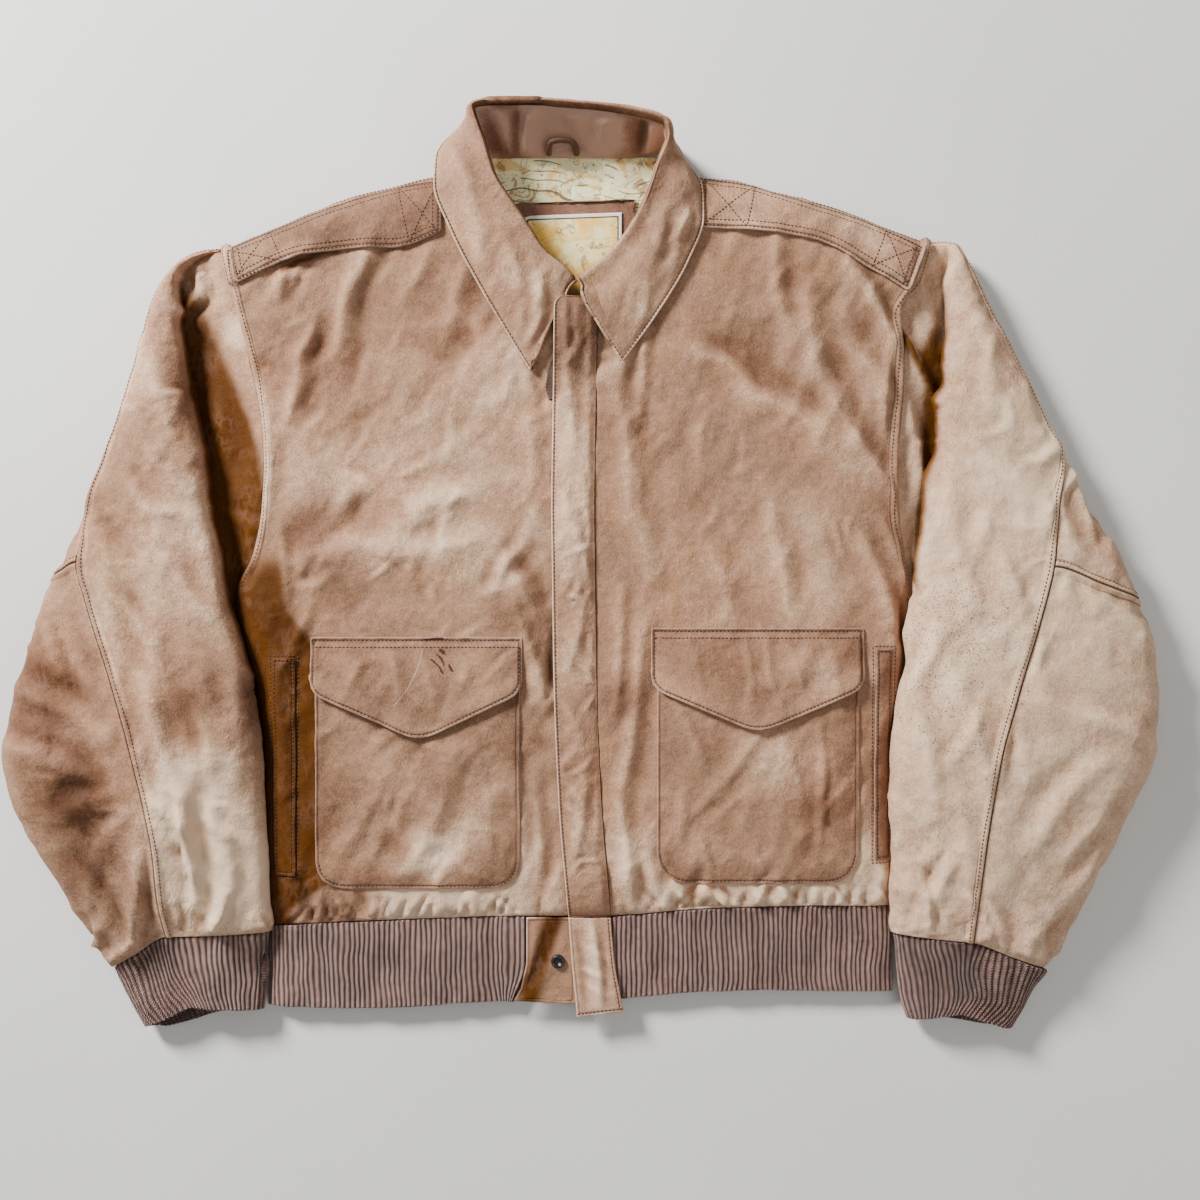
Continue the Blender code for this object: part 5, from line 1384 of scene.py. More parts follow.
def make_sleeve(side, word, finish, sewing):
    """The long panels of a sleeve; returns the points round its end, where the cuff goes on."""
    levels = SLEEVE[side]
    sections = [sleeve_section(side, level) for level in levels]
    seam = sections[0][1]
    elbow = ELBOW[side]
    grid, (elbow_at,), (seam_at,) = fine([points for points, _ in sections], row_stops=(elbow,),
                                         column_stops=(seam,))
    run = from_side(grid, 1)
    from_seam = run - run[:, seam_at:seam_at + 1]
    outer = from_seam > 0
    x, y, z = (grid[..., axis].copy() for axis in range(3))
    fold = read_at([(level.y_in, level.fold) for level in levels][::-1], y)
    tall = read_at([(level.y_in, level.height) for level in levels][::-1], y)
    inner = np.where(outer, 0, bell(abs(x) - fold, 10)) * ramp_up(z / tall, 0.22, 0.45)
    grid[..., 0] -= side * inner * read_at(LEAN[side], y)
    # Painted shade in the valley between the armhole and the tube, deepest under the tube's overhang; on the
    # left sleeve also a painted shade line along the fold below the shoulder.
    low = 1 - ramp_up(z, tall * 0.3 + 8, tall * 0.55 + 8)
    arm = read_at([(level.y_in, level.arm or level.fold) for level in levels][::-1], y)
    share = (abs(x) - arm) / np.maximum(fold - arm, 8)
    start = read_at(VALLEY_START[side], y)
    deep = ramp_up(share, start, start + 0.32) * (1 - ramp_up(abs(x), fold + 6, fold + 10))
    shade = np.where(outer, 0, low * deep) * read_at(VALLEY_SHADE[side], y)
    if side == LEFT:
        away = from_line([(274, 213), (290, 182), (312, 142)], x, y)
        shade = np.maximum(shade, np.where(outer, 0, 0.95 * bell(away, 4.5)))
    x, y = grid[..., 0], grid[..., 1]
    normal = facing(grid, -side)
    down = from_side(grid, 0)
    from_elbow = down - down[elbow_at:elbow_at + 1]
    to_cuff = from_side(grid, 0, True)
    near_x, far_x = (270, 490) if side == LEFT else (-490, -270)
    strewn = scattered(34, (near_x, -330, far_x, 260), 50, 7, 1.4, 70 * side, 61 + side)
    strewn += scattered(60, (near_x, -330, far_x, 240), 24, 3.6, 0.7, 60 * side, 65 + side)
    strewn += scattered(30, (near_x, -345, far_x, -300), 28, 5, 1.3, 80, 71 + side)
    depth = FOLD_GAIN * (creased(SLEEVE_CREASES[side] + strewn, x, y) + crumpled(x, y, 81 + side, 0.9))
    gather = puckers(x, y, to_cuff, 91 + side)
    near = np.min([abs(from_seam), to_cuff, down, np.where(outer, abs(from_elbow), 99)], axis=0)
    calm = ramp_up(near, 0, 9) * np.clip((grid[..., 2] - 2) / 10, 0, 1)
    crest = ((depth + gather) * calm).clip(-3, 3)
    bands = np.where(outer, seam_band(abs(from_elbow), 2.0), seam_band(-from_seam, 2.4))
    at_arm = np.where(outer, 0, ramp_up(y, -26, -12) * bell(run, 4.5))
    bands = bands - STEP_DOWN * at_arm
    grid = grid + normal * ((depth + gather) * calm + bands)[..., None]
    rows = grid.shape[0]
    sewn = np.where(outer, abs(abs(from_elbow) - BAND_STITCH), abs(-from_seam - BAND_STITCH))
    sewn = np.minimum(sewn, np.where(outer, abs(from_elbow), abs(from_seam)) * 0.8)
    sewn = np.minimum(sewn, np.where(at_arm > 0.5, run * 0.6, 9.0))
    pressed = np.minimum(abs(from_seam), np.where(outer, 99, abs(from_seam + BAND_STITCH + 1.2)))
    fade = fade_and_painted_light_of(f"sleeve_{word}", grid) + (0.22 if side == RIGHT else 0.06) * bell(pressed, 1.2)
    marks = dict(fade=fade, crest=crest * (0.8 if side == RIGHT else 0.45),
                 sewn=sewn + (0.45 if side == RIGHT else 0.0), shade=shade,
                 worked=np.exp(-to_cuff / 30) * 0.6 + 0.1)
    if side == LEFT:
        marks["specks"] = spotted(SPECKS, grid[..., 0], grid[..., 1])
    parts = {"front": (slice(0, rows), slice(0, seam_at + 1)),
             "back_upper": (slice(0, elbow_at + 1), slice(seam_at, None)),
             "back_lower": (slice(elbow_at, rows), slice(seam_at, None))}
    rims = {"front": ((1, False), (0, False), (0, True)), "back_upper": ((1, True), (0, False)),
            "back_lower": ((1, True), (0, True))}
    for part, where in parts.items():
        piece = parted(grid[where], part != "front", part == "back_lower")
        edge = from_rims(piece, *rims[part])
        cloth(f"sleeve_{word}_{part}", piece, WALL, finish, "leather", out=-side, edge=edge,
              **{key: values[where] for key, values in marks.items()})
        upward = facing(piece, -side)
        if part != "back_lower":
            for away in (BAND_STITCH, 1.6):
                sewing.by_side(piece, upward, 1 if part == "front" else 0, away, far=True)
    return sections[-1][0]


def parted(grid, at_first_column, at_first_row):
    """Move a panel's cut sides in by a seam's gap."""
    grid = grid.copy()
    side = 0 if at_first_column else -1
    inward = grid[:, 1] - grid[:, 0] if at_first_column else grid[:, -2] - grid[:, -1]
    grid[:, side] += inward / np.maximum(np.linalg.norm(inward, axis=-1, keepdims=True), 1e-6) * SEAM * 0.1
    if at_first_row:
        inward = grid[1] - grid[0]
        grid[0] += inward / np.maximum(np.linalg.norm(inward, axis=-1, keepdims=True), 1e-6) * SEAM * 0.15
    return grid


RIB_PITCH, RIB_DEPTH, RIB_SAMPLES = 4.4, 1.7, 6


def ribbed(rows, out, pitch, samples, closed=False, seed=1, wave=1.0):
    """A knit grid with ribs along its rows' columns: the points, how far each is from its rib's
    crest and how far along the rib."""
    grid = as_grid(rows)
    if closed:
        grid = np.concatenate([grid, grid[:, :1]], axis=1)
    along, _ = spaced(grid, 3.8, rims=(0.4, 1.0, 1.7, 2.6))
    lengths = np.linalg.norm(np.diff(grid, axis=1), axis=-1).mean(axis=0)
    run = np.concatenate([[0.0], np.cumsum(lengths)])
    ribs = round(run[-1] / pitch)
    across = np.interp(np.linspace(0, run[-1], ribs * samples + 1), run, np.arange(len(run)))
    grid = np.swapaxes(eased(np.swapaxes(eased(grid, along), 0, 1), across), 0, 1)
    phase = np.arange(grid.shape[1]) / samples
    if closed:
        grid, phase = grid[:, :-1], phase[:-1]
    rib = np.broadcast_to(abs((phase % 1.0) - 0.5) * 2, grid.shape[:2])
    ahead = np.gradient(grid, axis=1)
    ahead /= np.maximum(np.linalg.norm(ahead, axis=-1, keepdims=True), 1e-6)
    x, y = grid[..., 0], grid[..., 1]
    sway = uneven(x, y, 30, seed + 7) * 1.8 * wave + uneven(x, y, 10, seed + 8) * 0.8
    sides = from_rims(grid, *COLUMN_ENDS)
    grid = grid + ahead * (sway * ramp_up(sides, 2, 14))[..., None]
    profile = RIB_DEPTH * (np.sqrt(1 - (rib * 0.98) ** 2) - 1)
    x, y = grid[..., 0], grid[..., 1]
    swell = uneven(x, y, 30, seed) * 1.5 * wave + uneven(x, y * 0.25, 9, seed + 1) * 0.9
    grid = grid + facing(grid, out, closed) * (profile + swell)[..., None]
    return grid, rib, from_side(grid, 0)


# Tone spots on the cuffs: the left cuff is darker all over, and the small spots are painted shade in the dips
# of the wavy lower edges and painted highlights on the bulges beside them.
CUFF_SPOTS = {
    RIGHT: rows_of(
        Spot, (-323, -352, 14, -0.30), (-326, -326, 14, 0.20), (-372, -340, 18, -0.20),
        (-285, -330, 16, -0.10)),
    LEFT: rows_of(
        Spot, (322, -330, 70, -0.26), (335, -350, 14, -0.34), (303, -346, 10, 0.16), (354, -344, 12, 0.22)),
}


def make_cuff(side, word, sleeve_end, finish):
    """A rib knit cuff on the sleeve's end."""
    start = [point + Vector((0, -SEAM * 2, 0)) for point in sleeve_end[:-1]]
    rows = [start] + [sleeve_section(side, level)[0][:-1] for level in CUFF[side]]
    grid, rib, along = ribbed(rows, -side, RIB_PITCH, RIB_SAMPLES, closed=True, seed=101 + side, wave=2.2)
    grid[..., 2] = np.maximum(grid[..., 2], 0.0)
    edge = from_rims(grid, *ROW_ENDS)
    x, y = grid[..., 0], grid[..., 1]
    cloth(f"cuff_{word}", grid, KNIT, finish, "knit", out=-side, closed=True, edge=edge, rib=rib, along=along,
          fade=spotted(CUFF_SPOTS[side], x, y) + 0.10 * uneven(x, y, 26, 3))


BAND_OUT = {RIGHT: 3.5, LEFT: 6.5}    # the bands' sides run this far out, under the cuffs


def waistband_rows(side):
    """Outer points of a band under one front, from the hem down to its foot."""
    hem = front_rows(side)[0]
    near = BAND_BY_TAB[-1][1] if side == RIGHT else BAND_LEFT_END + SEAM
    reaches = [abs(point.x) for point in hem if abs(point.x) > near] + [near + SEAM]
    rows = []
    for share, sink in BAND_SINK:
        row = []
        for reach in reaches:
            top = between(HEM[side], reach) - SEAM / 2
            foot = between(KNIT_FOOT[side], reach)
            edge_x, edge, full = body_at(side, BODY[side][0].y)
            height = (edge + 1) + (full + 1 - edge) * round_over((edge_x - reach) / SIDE_ROUND)
            height = max(height - sink * min(1.0, (edge_x - reach) / SIDE_ROUND), KNIT * 2 + SEAM)
            y = top + (foot - top) * share
            wide = reach + BAND_OUT[side] * math.exp(-(reaches[0] - reach) / 22)
            if side == RIGHT and reach == reaches[-1]:
                wide = between(BAND_BY_TAB, y) + SEAM
            row.append(Vector((side * wide, y, height)))
        rows.append(row)
    return rows


def make_waistband(side, word, finish):
    """The rib knit under one front."""
    grid, rib, along = ribbed(waistband_rows(side), side, RIB_PITCH, RIB_SAMPLES, seed=111 + side)
    grid[..., 2] = np.maximum(grid[..., 2], KNIT * 2 + SEAM)
    x, y = grid[..., 0], grid[..., 1]
    # Painted shade at the right band's side, by the sleeve's cuff.
    cloth(f"waistband_{word}", grid, KNIT, finish, "knit", out=side, rib=rib, along=along,
          fade=0.08 * uneven(x, y, 40, 5), shade=0.6 * ramp_up(-x, 262, 280))


def make_back(leather, knit):
    """The back and its band, flat on the floor."""
    outline = []
    for side in (LEFT, RIGHT):
        run = [(side * (level.side - SEAM / 2), level.y) for level in BODY[side][1:]]
        hem = [(x, y + SEAM / 2) for x, y in waist_line(side, HEM)]
        line = [(side * reach, y) for reach, y in reversed(SHOULDER[side][:-1])]
        half = (hem[1:] if side == LEFT else hem) + run + line
        outline += half if side == LEFT else half[::-1]
    plan = filled(outline, 9.0)
    grid = np.dstack([plan, np.full(plan.shape[:2], WALL)])
    cloth("back", grid, WALL, leather, "leather", fade=0.55 + 0.1 * uneven(plan[..., 0], plan[..., 1], 80, 7),
          sewn=9.0, crest=0.0, edge=to_outline(plan, outline))
    top = waist_line(RIGHT, HEM)[::-1][:-1] + waist_line(LEFT, HEM)
    foot = waist_line(RIGHT, KNIT_FOOT)[::-1][:-1] + waist_line(LEFT, KNIT_FOOT)
    rows = [[Vector((x, y - SEAM / 2 + (between(foot, x) - y + SEAM / 2) * share, KNIT)) for x, y in top]
            for share in (0.0, 0.5, 1.0)]
    grid, rib, along = ribbed(rows, -1, RIB_PITCH, 2, seed=121)
    grid[..., 2] = KNIT
    cloth("waistband_back", grid, KNIT, knit, "knit", out=-1, rib=rib, along=along, fade=0.0)


def make_laid(node, outline, ground, lift, thickness, finish, slot, puff=0.0, upright=False, creases=(),
              fade=0.5, wild=0.25, seed=1, sewn_in=EDGE_STITCH, worn=0.25, step=2.7, loose=None, spots=(),
              shaded=0.0):
    """A piece that lies on a panel: its outline filled, on the panel's own height."""
    plan = filled(outline, step, upright)
    x, y = plan[..., 0], plan[..., 1]
    edge = to_outline(plan, outline)
    below = ground.height(x, y)
    depth = creased(creases, x, y) + crumpled(x, y, seed, wild)
    pucker = uneven(x, y, 7, seed + 9) * bell(edge - 6, 5) * 0.35
    depth = np.maximum(depth * ramp_up(edge, 2, 14) + pucker, -0.1)
    depth = depth + puff * ramp_up(edge, 1, 26) - 0.35 * bell(edge - sewn_in, 0.9)
    if loose is not None:
        depth = depth + loose(x, y) * (1 - 0.6 * ramp_up(edge, 4, 22))
    grid = np.dstack([x, y, below + lift + thickness + np.maximum(depth, -0.3)])
    out = -1 if upright else 1
    if facing(grid, out)[..., 2].mean() < 0:
        out = -out
    shade = fade + 0.08 * uneven(x, y, 45, seed + 3) + spotted(spots, x, y)
    return cloth(node, grid, thickness, finish, slot, out=out, edge=edge, fade=shade,
                 crest=depth.clip(-3, 3), sewn=abs(edge - sewn_in), worked=0.15, worn=worn, shade=shaded)


def inset(outline, away):
    """An outline moved in, for a row of stitches."""
    middle = np.mean(outline, axis=0)
    points = []
    count = len(outline)
    for index in range(count):
        before, here, after = (np.array(outline[(index + shift) % count], float) for shift in (-1, 0, 1))
        one, two = here - before, after - here
        one, two = one / np.linalg.norm(one), two / np.linalg.norm(two)
        normal = np.array((-(one + two)[1], (one + two)[0]))
        normal /= max(np.linalg.norm(normal), 1e-6)
        if normal @ (middle - here) < 0:
            normal = -normal
        slant = max(abs(normal @ np.array((-one[1], one[0]))), 0.4)
        points.append(tuple(here + normal * away / slant))
    return points


POCKET_CREASES = {
    RIGHT: rows_of(
        Crease, (-108, -160, -156, -262, 8, 15, 5.0), (-160, -150, -205, -240, 5, 14, 2.0),
        (-90, -150, -78, -230, 3, 8, 2.0), (-200, -130, -140, -180, 4, 10, 1.6),
        (-130, -230, -90, -262, 2, 6, 1.8), (-98, -206, -70, -252, 3, 6, 1.8),
        (-176, -180, -150, -236, 2, 5, 1.4)),
    LEFT: rows_of(
        Crease, (206, -134, 206, -212, 3, 5, 3.2), (208, -210, 230, -182, 2, 4, 2.2),
        (208, -212, 230, -242, -2, 4, 2.6), (196, -190, 192, -254, 3, 5, -2.6),
        (152, -140, 94, -210, 4, 6, 2.4), (82, -114, 106, -164, 2, 5, 2.4),
        (104, -232, 112, -262, 2, 4, 2.2), (152, -238, 158, -264, 0, 4, 2.0),
        (176, -150, 190, -196, 3, 6, 1.8), (120, -180, 142, -226, 3, 7, 1.6),
        (88, -170, 84, -240, 2, 6, 1.4)),
}
# Lighter and darker spots on the pockets; those along the deepest folds are painted shade, with painted light
# beside the right pocket's big fold.
POCKET_SPOTS = {
    RIGHT: rows_of(
        Spot, (-126, -246, 24, 0.62), (-96, -216, 24, 0.30), (-70, -184, 24, 0.22),
        (-122, -182, 13, -0.16), (-142, -210, 13, -0.20), (-160, -236, 13, -0.24), (-190, -200, 36, -0.06),
        (-200, -250, 24, 0.06)),
    LEFT: rows_of(
        Spot, (203, -206, 14, -0.24), (195, -238, 12, -0.20), (96, -236, 26, 0.08), (164, -162, 32, 0.22),
        (225, -250, 18, 0.08), (210, -196, 24, -0.10), (120, -160, 16, -0.10)),
}
FLAP_SPOTS = {
    RIGHT: rows_of(Spot, (-88, -85, 26, 0.16), (-181, -93, 18, 0.10)),
    LEFT: rows_of(Spot, (120, -86, 24, -0.12), (206, -84, 22, 0.26)),
}
FLAP_CREASES = {
    RIGHT: rows_of(
        Crease, (-164, -66, -156, -120, 4, 6, 1.8), (-134, -74, -114, -122, -3, 6, 1.9),
        (-100, -70, -90, -110, -2, 7, 1.2), (-205, -66, -190, -110, 2, 8, 1.2)),
    LEFT: rows_of(
        Crease, (140, -56, 146, -112, 3, 4, 2.0), (160, -58, 172, -114, -3, 4, 2.0),
        (176, -60, 190, -100, 2, 5, 1.2), (96, -66, 104, -104, 2, 6, 1.3), (212, -60, 220, -96, 2, 6, 1.2)),
}


def flap_shape(inner, outer, top, side, tip_x, tip_y):
    """A flap's outline with its softly rounded corners and tip."""
    return softened([(inner, top), (inner, side), (tip_x, tip_y - 2.5), (outer, side), (outer, top)],
                    (2, 12, 16, 12, 2))


def make_pocket(side, word, front, finish, flap_finish, sewing):
    """A patch pocket, its flap and the welt of the side pocket."""
    on_front = Ground(front)
    outline = pocket_outline(**POCKET[side])
    pocket = make_laid(f"pocket_{word}", outline, on_front, SEAM, TRIM, finish, "leather", puff=1.8,
                       creases=POCKET_CREASES[side], fade=0.37 if side == RIGHT else 0.42,
                       wild=0.7 if side == RIGHT else 1.1, seed=131 + side, spots=POCKET_SPOTS[side])
    size = POCKET_FLAP[side]
    flap_edge = flap_shape(**size)

    def hanging(x, y):
        """How far the loose flap stands off."""
        return 2.8 * ramp_up(size["top"] - y, 12, 50)

    flap = make_laid(f"pocket_flap_{word}", flap_edge, Ground(front, pocket), SEAM, TRIM, flap_finish,
                     "leather", puff=0.8, upright=True, creases=FLAP_CREASES[side],
                     fade=0.37 if side == RIGHT else 0.41, wild=0.5, seed=141 + side, loose=hanging,
                     spots=FLAP_SPOTS[side])
    # The right welt lies in painted shade, as does the front beside it.
    welt = make_laid(f"welt_{word}", oblong(**WELT[side]), on_front, SEAM, TRIM, finish, "leather", puff=0.3,
                     fade=0.50 if side == RIGHT else 0.44, wild=0.2, seed=151 + side, worn=0.1,
                     shaded=0.92 if side == RIGHT else 0.0)
    on_all = Ground(front, pocket, flap, welt)
    line = inset(outline, EDGE_STITCH)
    sewing.over(on_all, [place for place in line if place[1] < size["side"] + 4])
    line = inset(flap_edge, EDGE_STITCH)
    sewing.over(on_all, line + line[:1])
    top = size["top"] - 8.5
    sewing.over(on_all, [(line[0][0], top), (line[-1][0], top)])
    box = oblong(**WELT[side])
    for away in (2.2, -2.2):
        line = inset(box, away)
        sewing.over(on_all, line + line[:1])


# Where an epaulette's lower edge lifts: its reach, the height and the level up to which it does
EPAULETTE_ARCH = {RIGHT: (214, 268, 4.5, 272), LEFT: (128, 168, 3.0, 288)}
# The stitched boxes at its ends: corners as distance from the middle, and y
EPAULETTE_BOXES = {
    RIGHT: [[(298, 248), (254, 265), (266, 292), (303, 276)],
            [(146, 281), (121, 290), (121, 333), (156, 330)]],
    LEFT: [[(280, 244), (250, 262), (262, 292), (292, 279)],
           [(142, 294), (104, 295), (106, 336), (150, 331)]],
}


def make_epaulette(side, word, front, finish, sewing):
    """An epaulette, sewn down round its edge and with crosses at its ends."""
    corners = [(side * reach, y) for reach, y in EPAULETTE[side]]
    count = len(corners)
    outline = softened(corners, [3 if index in (0, 1, 6, 7) else 12 for index in range(count)])

    start, end, rise, level = EPAULETTE_ARCH[side]

    def arched(x, y):
        """How far the lower edge lifts."""
        reach = abs(x)
        along = ramp_up(reach, start, (start + end) / 2) * (1 - ramp_up(reach, (start + end) / 2, end))
        return rise * along * (1 - ramp_up(y, level, level + 22))

    ends = [Spot(side * 278, 264, 20, 0.22)] if side == RIGHT else []
    piece = make_laid(f"epaulette_{word}", outline, Ground(front), SEAM + 0.4, STRAP, finish, "leather",
                      puff=1.2, upright=True, fade=0.34 if side == RIGHT else 0.62, wild=1.0,
                      seed=161 + side, worn=0.3, step=2.4, loose=arched, spots=ends)
    on_top = Ground(front, piece)
    for away in (2.4, 7.5):
        line = inset(outline, away)
        sewing.over(on_top, line + line[:1])
    for box in EPAULETTE_BOXES[side]:
        corners = [(side * reach, y) for reach, y in box]
        sewing.over(on_top, corners + corners[:1])
        sewing.over(on_top, [corners[0], corners[2]])
        sewing.over(on_top, [corners[1], corners[3]])


def make_wind_flap(finish, sewing):
    """The wind flap over the zip, from the collar to the waist."""
    rows = []
    for y in [level.y for level in BODY[RIGHT][:YOKE_START]] + list(FLAP_HEAD):
        y = max(y, FLAP_FOOT)
        left = between(FLAP_EDGE, y)
        over_collar = COLLAR_BULK * round_over((y - 188) / 40)
        rows.append([Vector((left + FLAP_WIDTH * share, y, front_height(RIGHT, 5, y) + lift + over_collar))
                     for share, lift in FLAP_SECTION])
    grid, _, _ = fine(rows, 2.2)
    x, y = grid[..., 0], grid[..., 1]
    top = grid[-1:, :, 1] - y
    across = from_side(grid, 1)
    corner = 9.0
    pulled = np.clip(corner - top, 0, corner)
    shift = corner - np.sqrt(np.maximum(corner ** 2 - pulled ** 2, 0))
    grid[..., 0] += shift * (1 - across / across[:, -1:]) * 0.8
    folds = rows_of(
        Crease, (-14, 232, -12, 140, 2, 4, 1.8), (-2, 228, -6, 110, -2, 5, 1.6),
        (-12, 60, 4, 10, 2, 6, 1.4), (2, -30, -10, -80, 2, 6, 1.5), (-16, -110, 2, -150, 2, 6, 1.4),
        (4, -170, -6, -250, 2, 6, 1.8), (-14, -176, 6, -204, 0, 4, 1.2), (-12, -200, 10, -226, 0, 4, 1.2),
        (-8, -222, 12, -246, 0, 4, 1.1))
    folds += scattered(30, (-22, -296, 16, 230), 22, 3.4, 1.3, 75, 175)
    depth = 1.5 * creased(folds, x, y) + crumpled(x, y, 171, 1.1) + 1.2 * ramp_up(across, 2, 14)
    edge = np.minimum(np.minimum(across, from_side(grid, 0, True)), from_side(grid, 0) + 1)
    depth = depth * ramp_up(np.minimum(edge, across[:, -1:] - across), 1, 8) - 0.4 * bell(edge - 2.2, 0.8)
    grid = grid + facing(grid, 1) * depth[..., None]
    lit = 0.16 * bell(y - 84, 80) - 0.38 * ramp_up(y, 150, 200)
    cloth("wind_flap", grid, WALL, finish, "leather", fade=0.62 + 0.12 * uneven(x, y, 50, 173) + lit,
          crest=depth.clip(-3, 3), sewn=abs(edge - 2.2), worked=0.3, worn=1.0 * np.exp(-across / 4),
          edge=np.minimum(edge, across[:, -1:] - across + 0.9))
    sewing.by_side(grid, facing(grid, 1), 1, 2.2)


def make_tabs(finish, satin, sewing):
    """The leather tabs over the waistband."""
    rows = []
    for level in TAB_LEFT:
        rows.append([Vector((level.left + (level.width - SEAM) * share,
                             level.y + (TAB_SLANT * share if level is TAB_LEFT[-1] else 0.0),
                             level.z - (TAB_LIP if share in (0.0, 1.0) else 0.0))) for share in TAB_SHARES])
    grid, _, _ = fine(rows, 2.0)
    x, y = grid[..., 0], grid[..., 1]
    edge = from_rims(grid, *COLUMN_ENDS, (0, True))
    folds = rows_of(
        Crease, (10, -304, 17, -374, 2, 4, 3.0), (-1, -318, 5, -378, 1, 4, -2.0),
        (2, -344, 16, -350, 0, 3, 1.6), (6, -358, 18, -366, 0, 3, 1.4), (8, -326, 20, -334, 0, 3, 1.4))
    depth = (creased(folds, x, y) + crumpled(x, y, 181, 0.6)) * ramp_up(edge, 1, 7)
    depth = depth - 0.3 * bell(edge - EDGE_STITCH, 0.9)
    grid = grid + facing(grid, -1) * depth[..., None]
    # A painted satin highlight runs down the left tab.
    cloth("tab_left", grid, WALL, satin, "leather", out=-1,
          fade=0.72 + 0.22 * bell(x - 12 + (y + 340) * 0.1, 5) * ramp_up(-y, 300, 316), crest=depth,
          sewn=abs(edge - EDGE_STITCH), worked=0.2, worn=1.0 * np.exp(-from_side(grid, 1) / 4))
    sewing.by_side(grid, facing(grid, -1), 1, EDGE_STITCH, far=True)
    sewing.by_side(grid, facing(grid, -1), 0, EDGE_STITCH, far=True)
    plan = filled(TAB_RIGHT, 2.2)
    x, y = plan[..., 0], plan[..., 1]
    edge = to_outline(plan, TAB_RIGHT)
    folds = rows_of(Crease, (-18, -306, -50, -362, 2, 6, -2.2), (-36, -310, -46, -350, 0, 6, 1.8))
    calm = ramp_up(edge, 1, 7) * (1 - ramp_up(x, -18, -10))
    depth = (creased(folds, x, y) + crumpled(x, y, 185, 0.5)) * calm
    grid = np.dstack([x, y, TAB_RIGHT_Z + depth.clip(-1.6, 2.2)])
    # Painted shade along the right tab's fold.
    shaded = bell(x + 34 - (y + 335) * 0.3, 12) * 0.97
    cloth("tab_right", grid, WALL, finish, "leather", edge=edge, fade=0.54, crest=depth,
          sewn=abs(edge - EDGE_STITCH), worked=0.3, worn=0.8 * (x < -38) * (y > -350), shade=shaded)


NECK_CLOSED = (6.5, 7.0, 5.0, 2.0)          # how far the roll's first places are drawn to the middle
NECK_CLOSED_LEFT = {0: -3.0, 1: -2.5, 2: -1.0}   # and its last


def collar_place(index):
    """A place on the collar's roll, and the way from it into the neck."""
    station, behind, ahead = (COLLAR[min(max(index + shift, 0), len(COLLAR) - 1)] for shift in (0, -1, 1))
    run = Vector((ahead.roll_x - behind.roll_x, ahead.roll_y - behind.roll_y, 0)).normalized()
    return Vector((station.roll_x, station.roll_y, station.roll_z)), Vector((run.y, -run.x, 0))


def make_collar(tan, dark, sewing):
    """The collar's fall, turned down over its roll, with a piped edge, and the stand inside it."""
    rows = []
    for index, station in enumerate(COLLAR):
        drawn = NECK_CLOSED[index] if index < 4 else NECK_CLOSED_LEFT.get(len(COLLAR) - 1 - index, 0.0)
        roll, inwards = collar_place(index)
        roll.x += drawn
        out = Vector((station.out_x, station.out_y, station.out_z))
        lip = roll + inwards * 3.0 - Vector((0, 0, ROLL_DROP if 1 < index < len(COLLAR) - 2 else 3.0))
        crown = Vector((0, 0, 1.0))
        shoulder = roll - inwards * 4.0 - Vector((0, 0, 1.2))
        rows.append([lip, roll, shoulder.lerp(out, 0.12), roll.lerp(out, 0.4) + crown * 2.5,
                     roll.lerp(out, 0.72) + crown * 1.5, out])
    tips = (1, len(COLLAR) - 2)
    grid, _, _ = fine(rows, 2.6, row_stops=tips, corners=tips)
    x, y = grid[..., 0], grid[..., 1]
    edge = from_rims(grid, (1, True), *ROW_ENDS)
    folds = rows_of(
        Crease, (-34, 248, -38, 224, 2, 5, 3.2), (-30, 232, -46, 196, 3, 5, 3.2),
        (-90, 300, -84, 270, 2, 8, 2.4), (96, 312, 80, 262, -3, 9, 2.8), (-104, 344, -92, 318, 2, 7, 2.4),
        (56, 240, 50, 205, 2, 7, 2.2), (-60, 270, -52, 240, 2, 6, 2.0), (70, 300, 62, 268, 2, 6, 2.0),
        (-48, 226, -54, 200, 1, 4, 1.8), (88, 348, 98, 318, -2, 6, 2.2))
    folds += scattered(26, (-120, 180, 120, 350), 22, 4, 1.2, 70, 197)
    depth = (creased(folds, x, y) + crumpled(x, y, 191, 1.2)) * ramp_up(edge, 2, 12)
    depth = depth - 0.9 * bell(edge - EDGE_STITCH, 0.9) + 0.5 * bell(edge - 1.2, 0.9)
    normal = facing(grid, -1)
    grid = grid + normal * depth[..., None]
    past_roll = from_side(grid, 1)
    fade = 0.62 + 0.1 * uneven(x, y, 40, 193) - 0.25 * (1 - ramp_up(past_roll, 0.0, 7.0))
    back_turn = ramp_up(y, 350, 375)
    fade = fade - 0.20 * back_turn * (1 - ramp_up(past_roll, 6.0, 14.0))
    piped = (1 - ramp_up(edge, 1.7, 2.5)) * ramp_up(past_roll, 8, 22)
    fade = fade + 0.16 * piped
    cloth("collar", grid, COLLAR_WALL, tan, "leather", out=-1, fade=fade, crest=depth.clip(-3, 3),
          sewn=abs(edge - EDGE_STITCH), edge=np.minimum(edge, past_roll + 1.5), worked=0.1,
          worn=0.5 * ramp_up(past_roll, 8, 22))
    normal = facing(grid, -1)
    for axis, far in ((1, True), (0, False), (0, True)):
        sewing.by_side(grid, normal, axis, EDGE_STITCH, far=far)
    make_stand(dark)


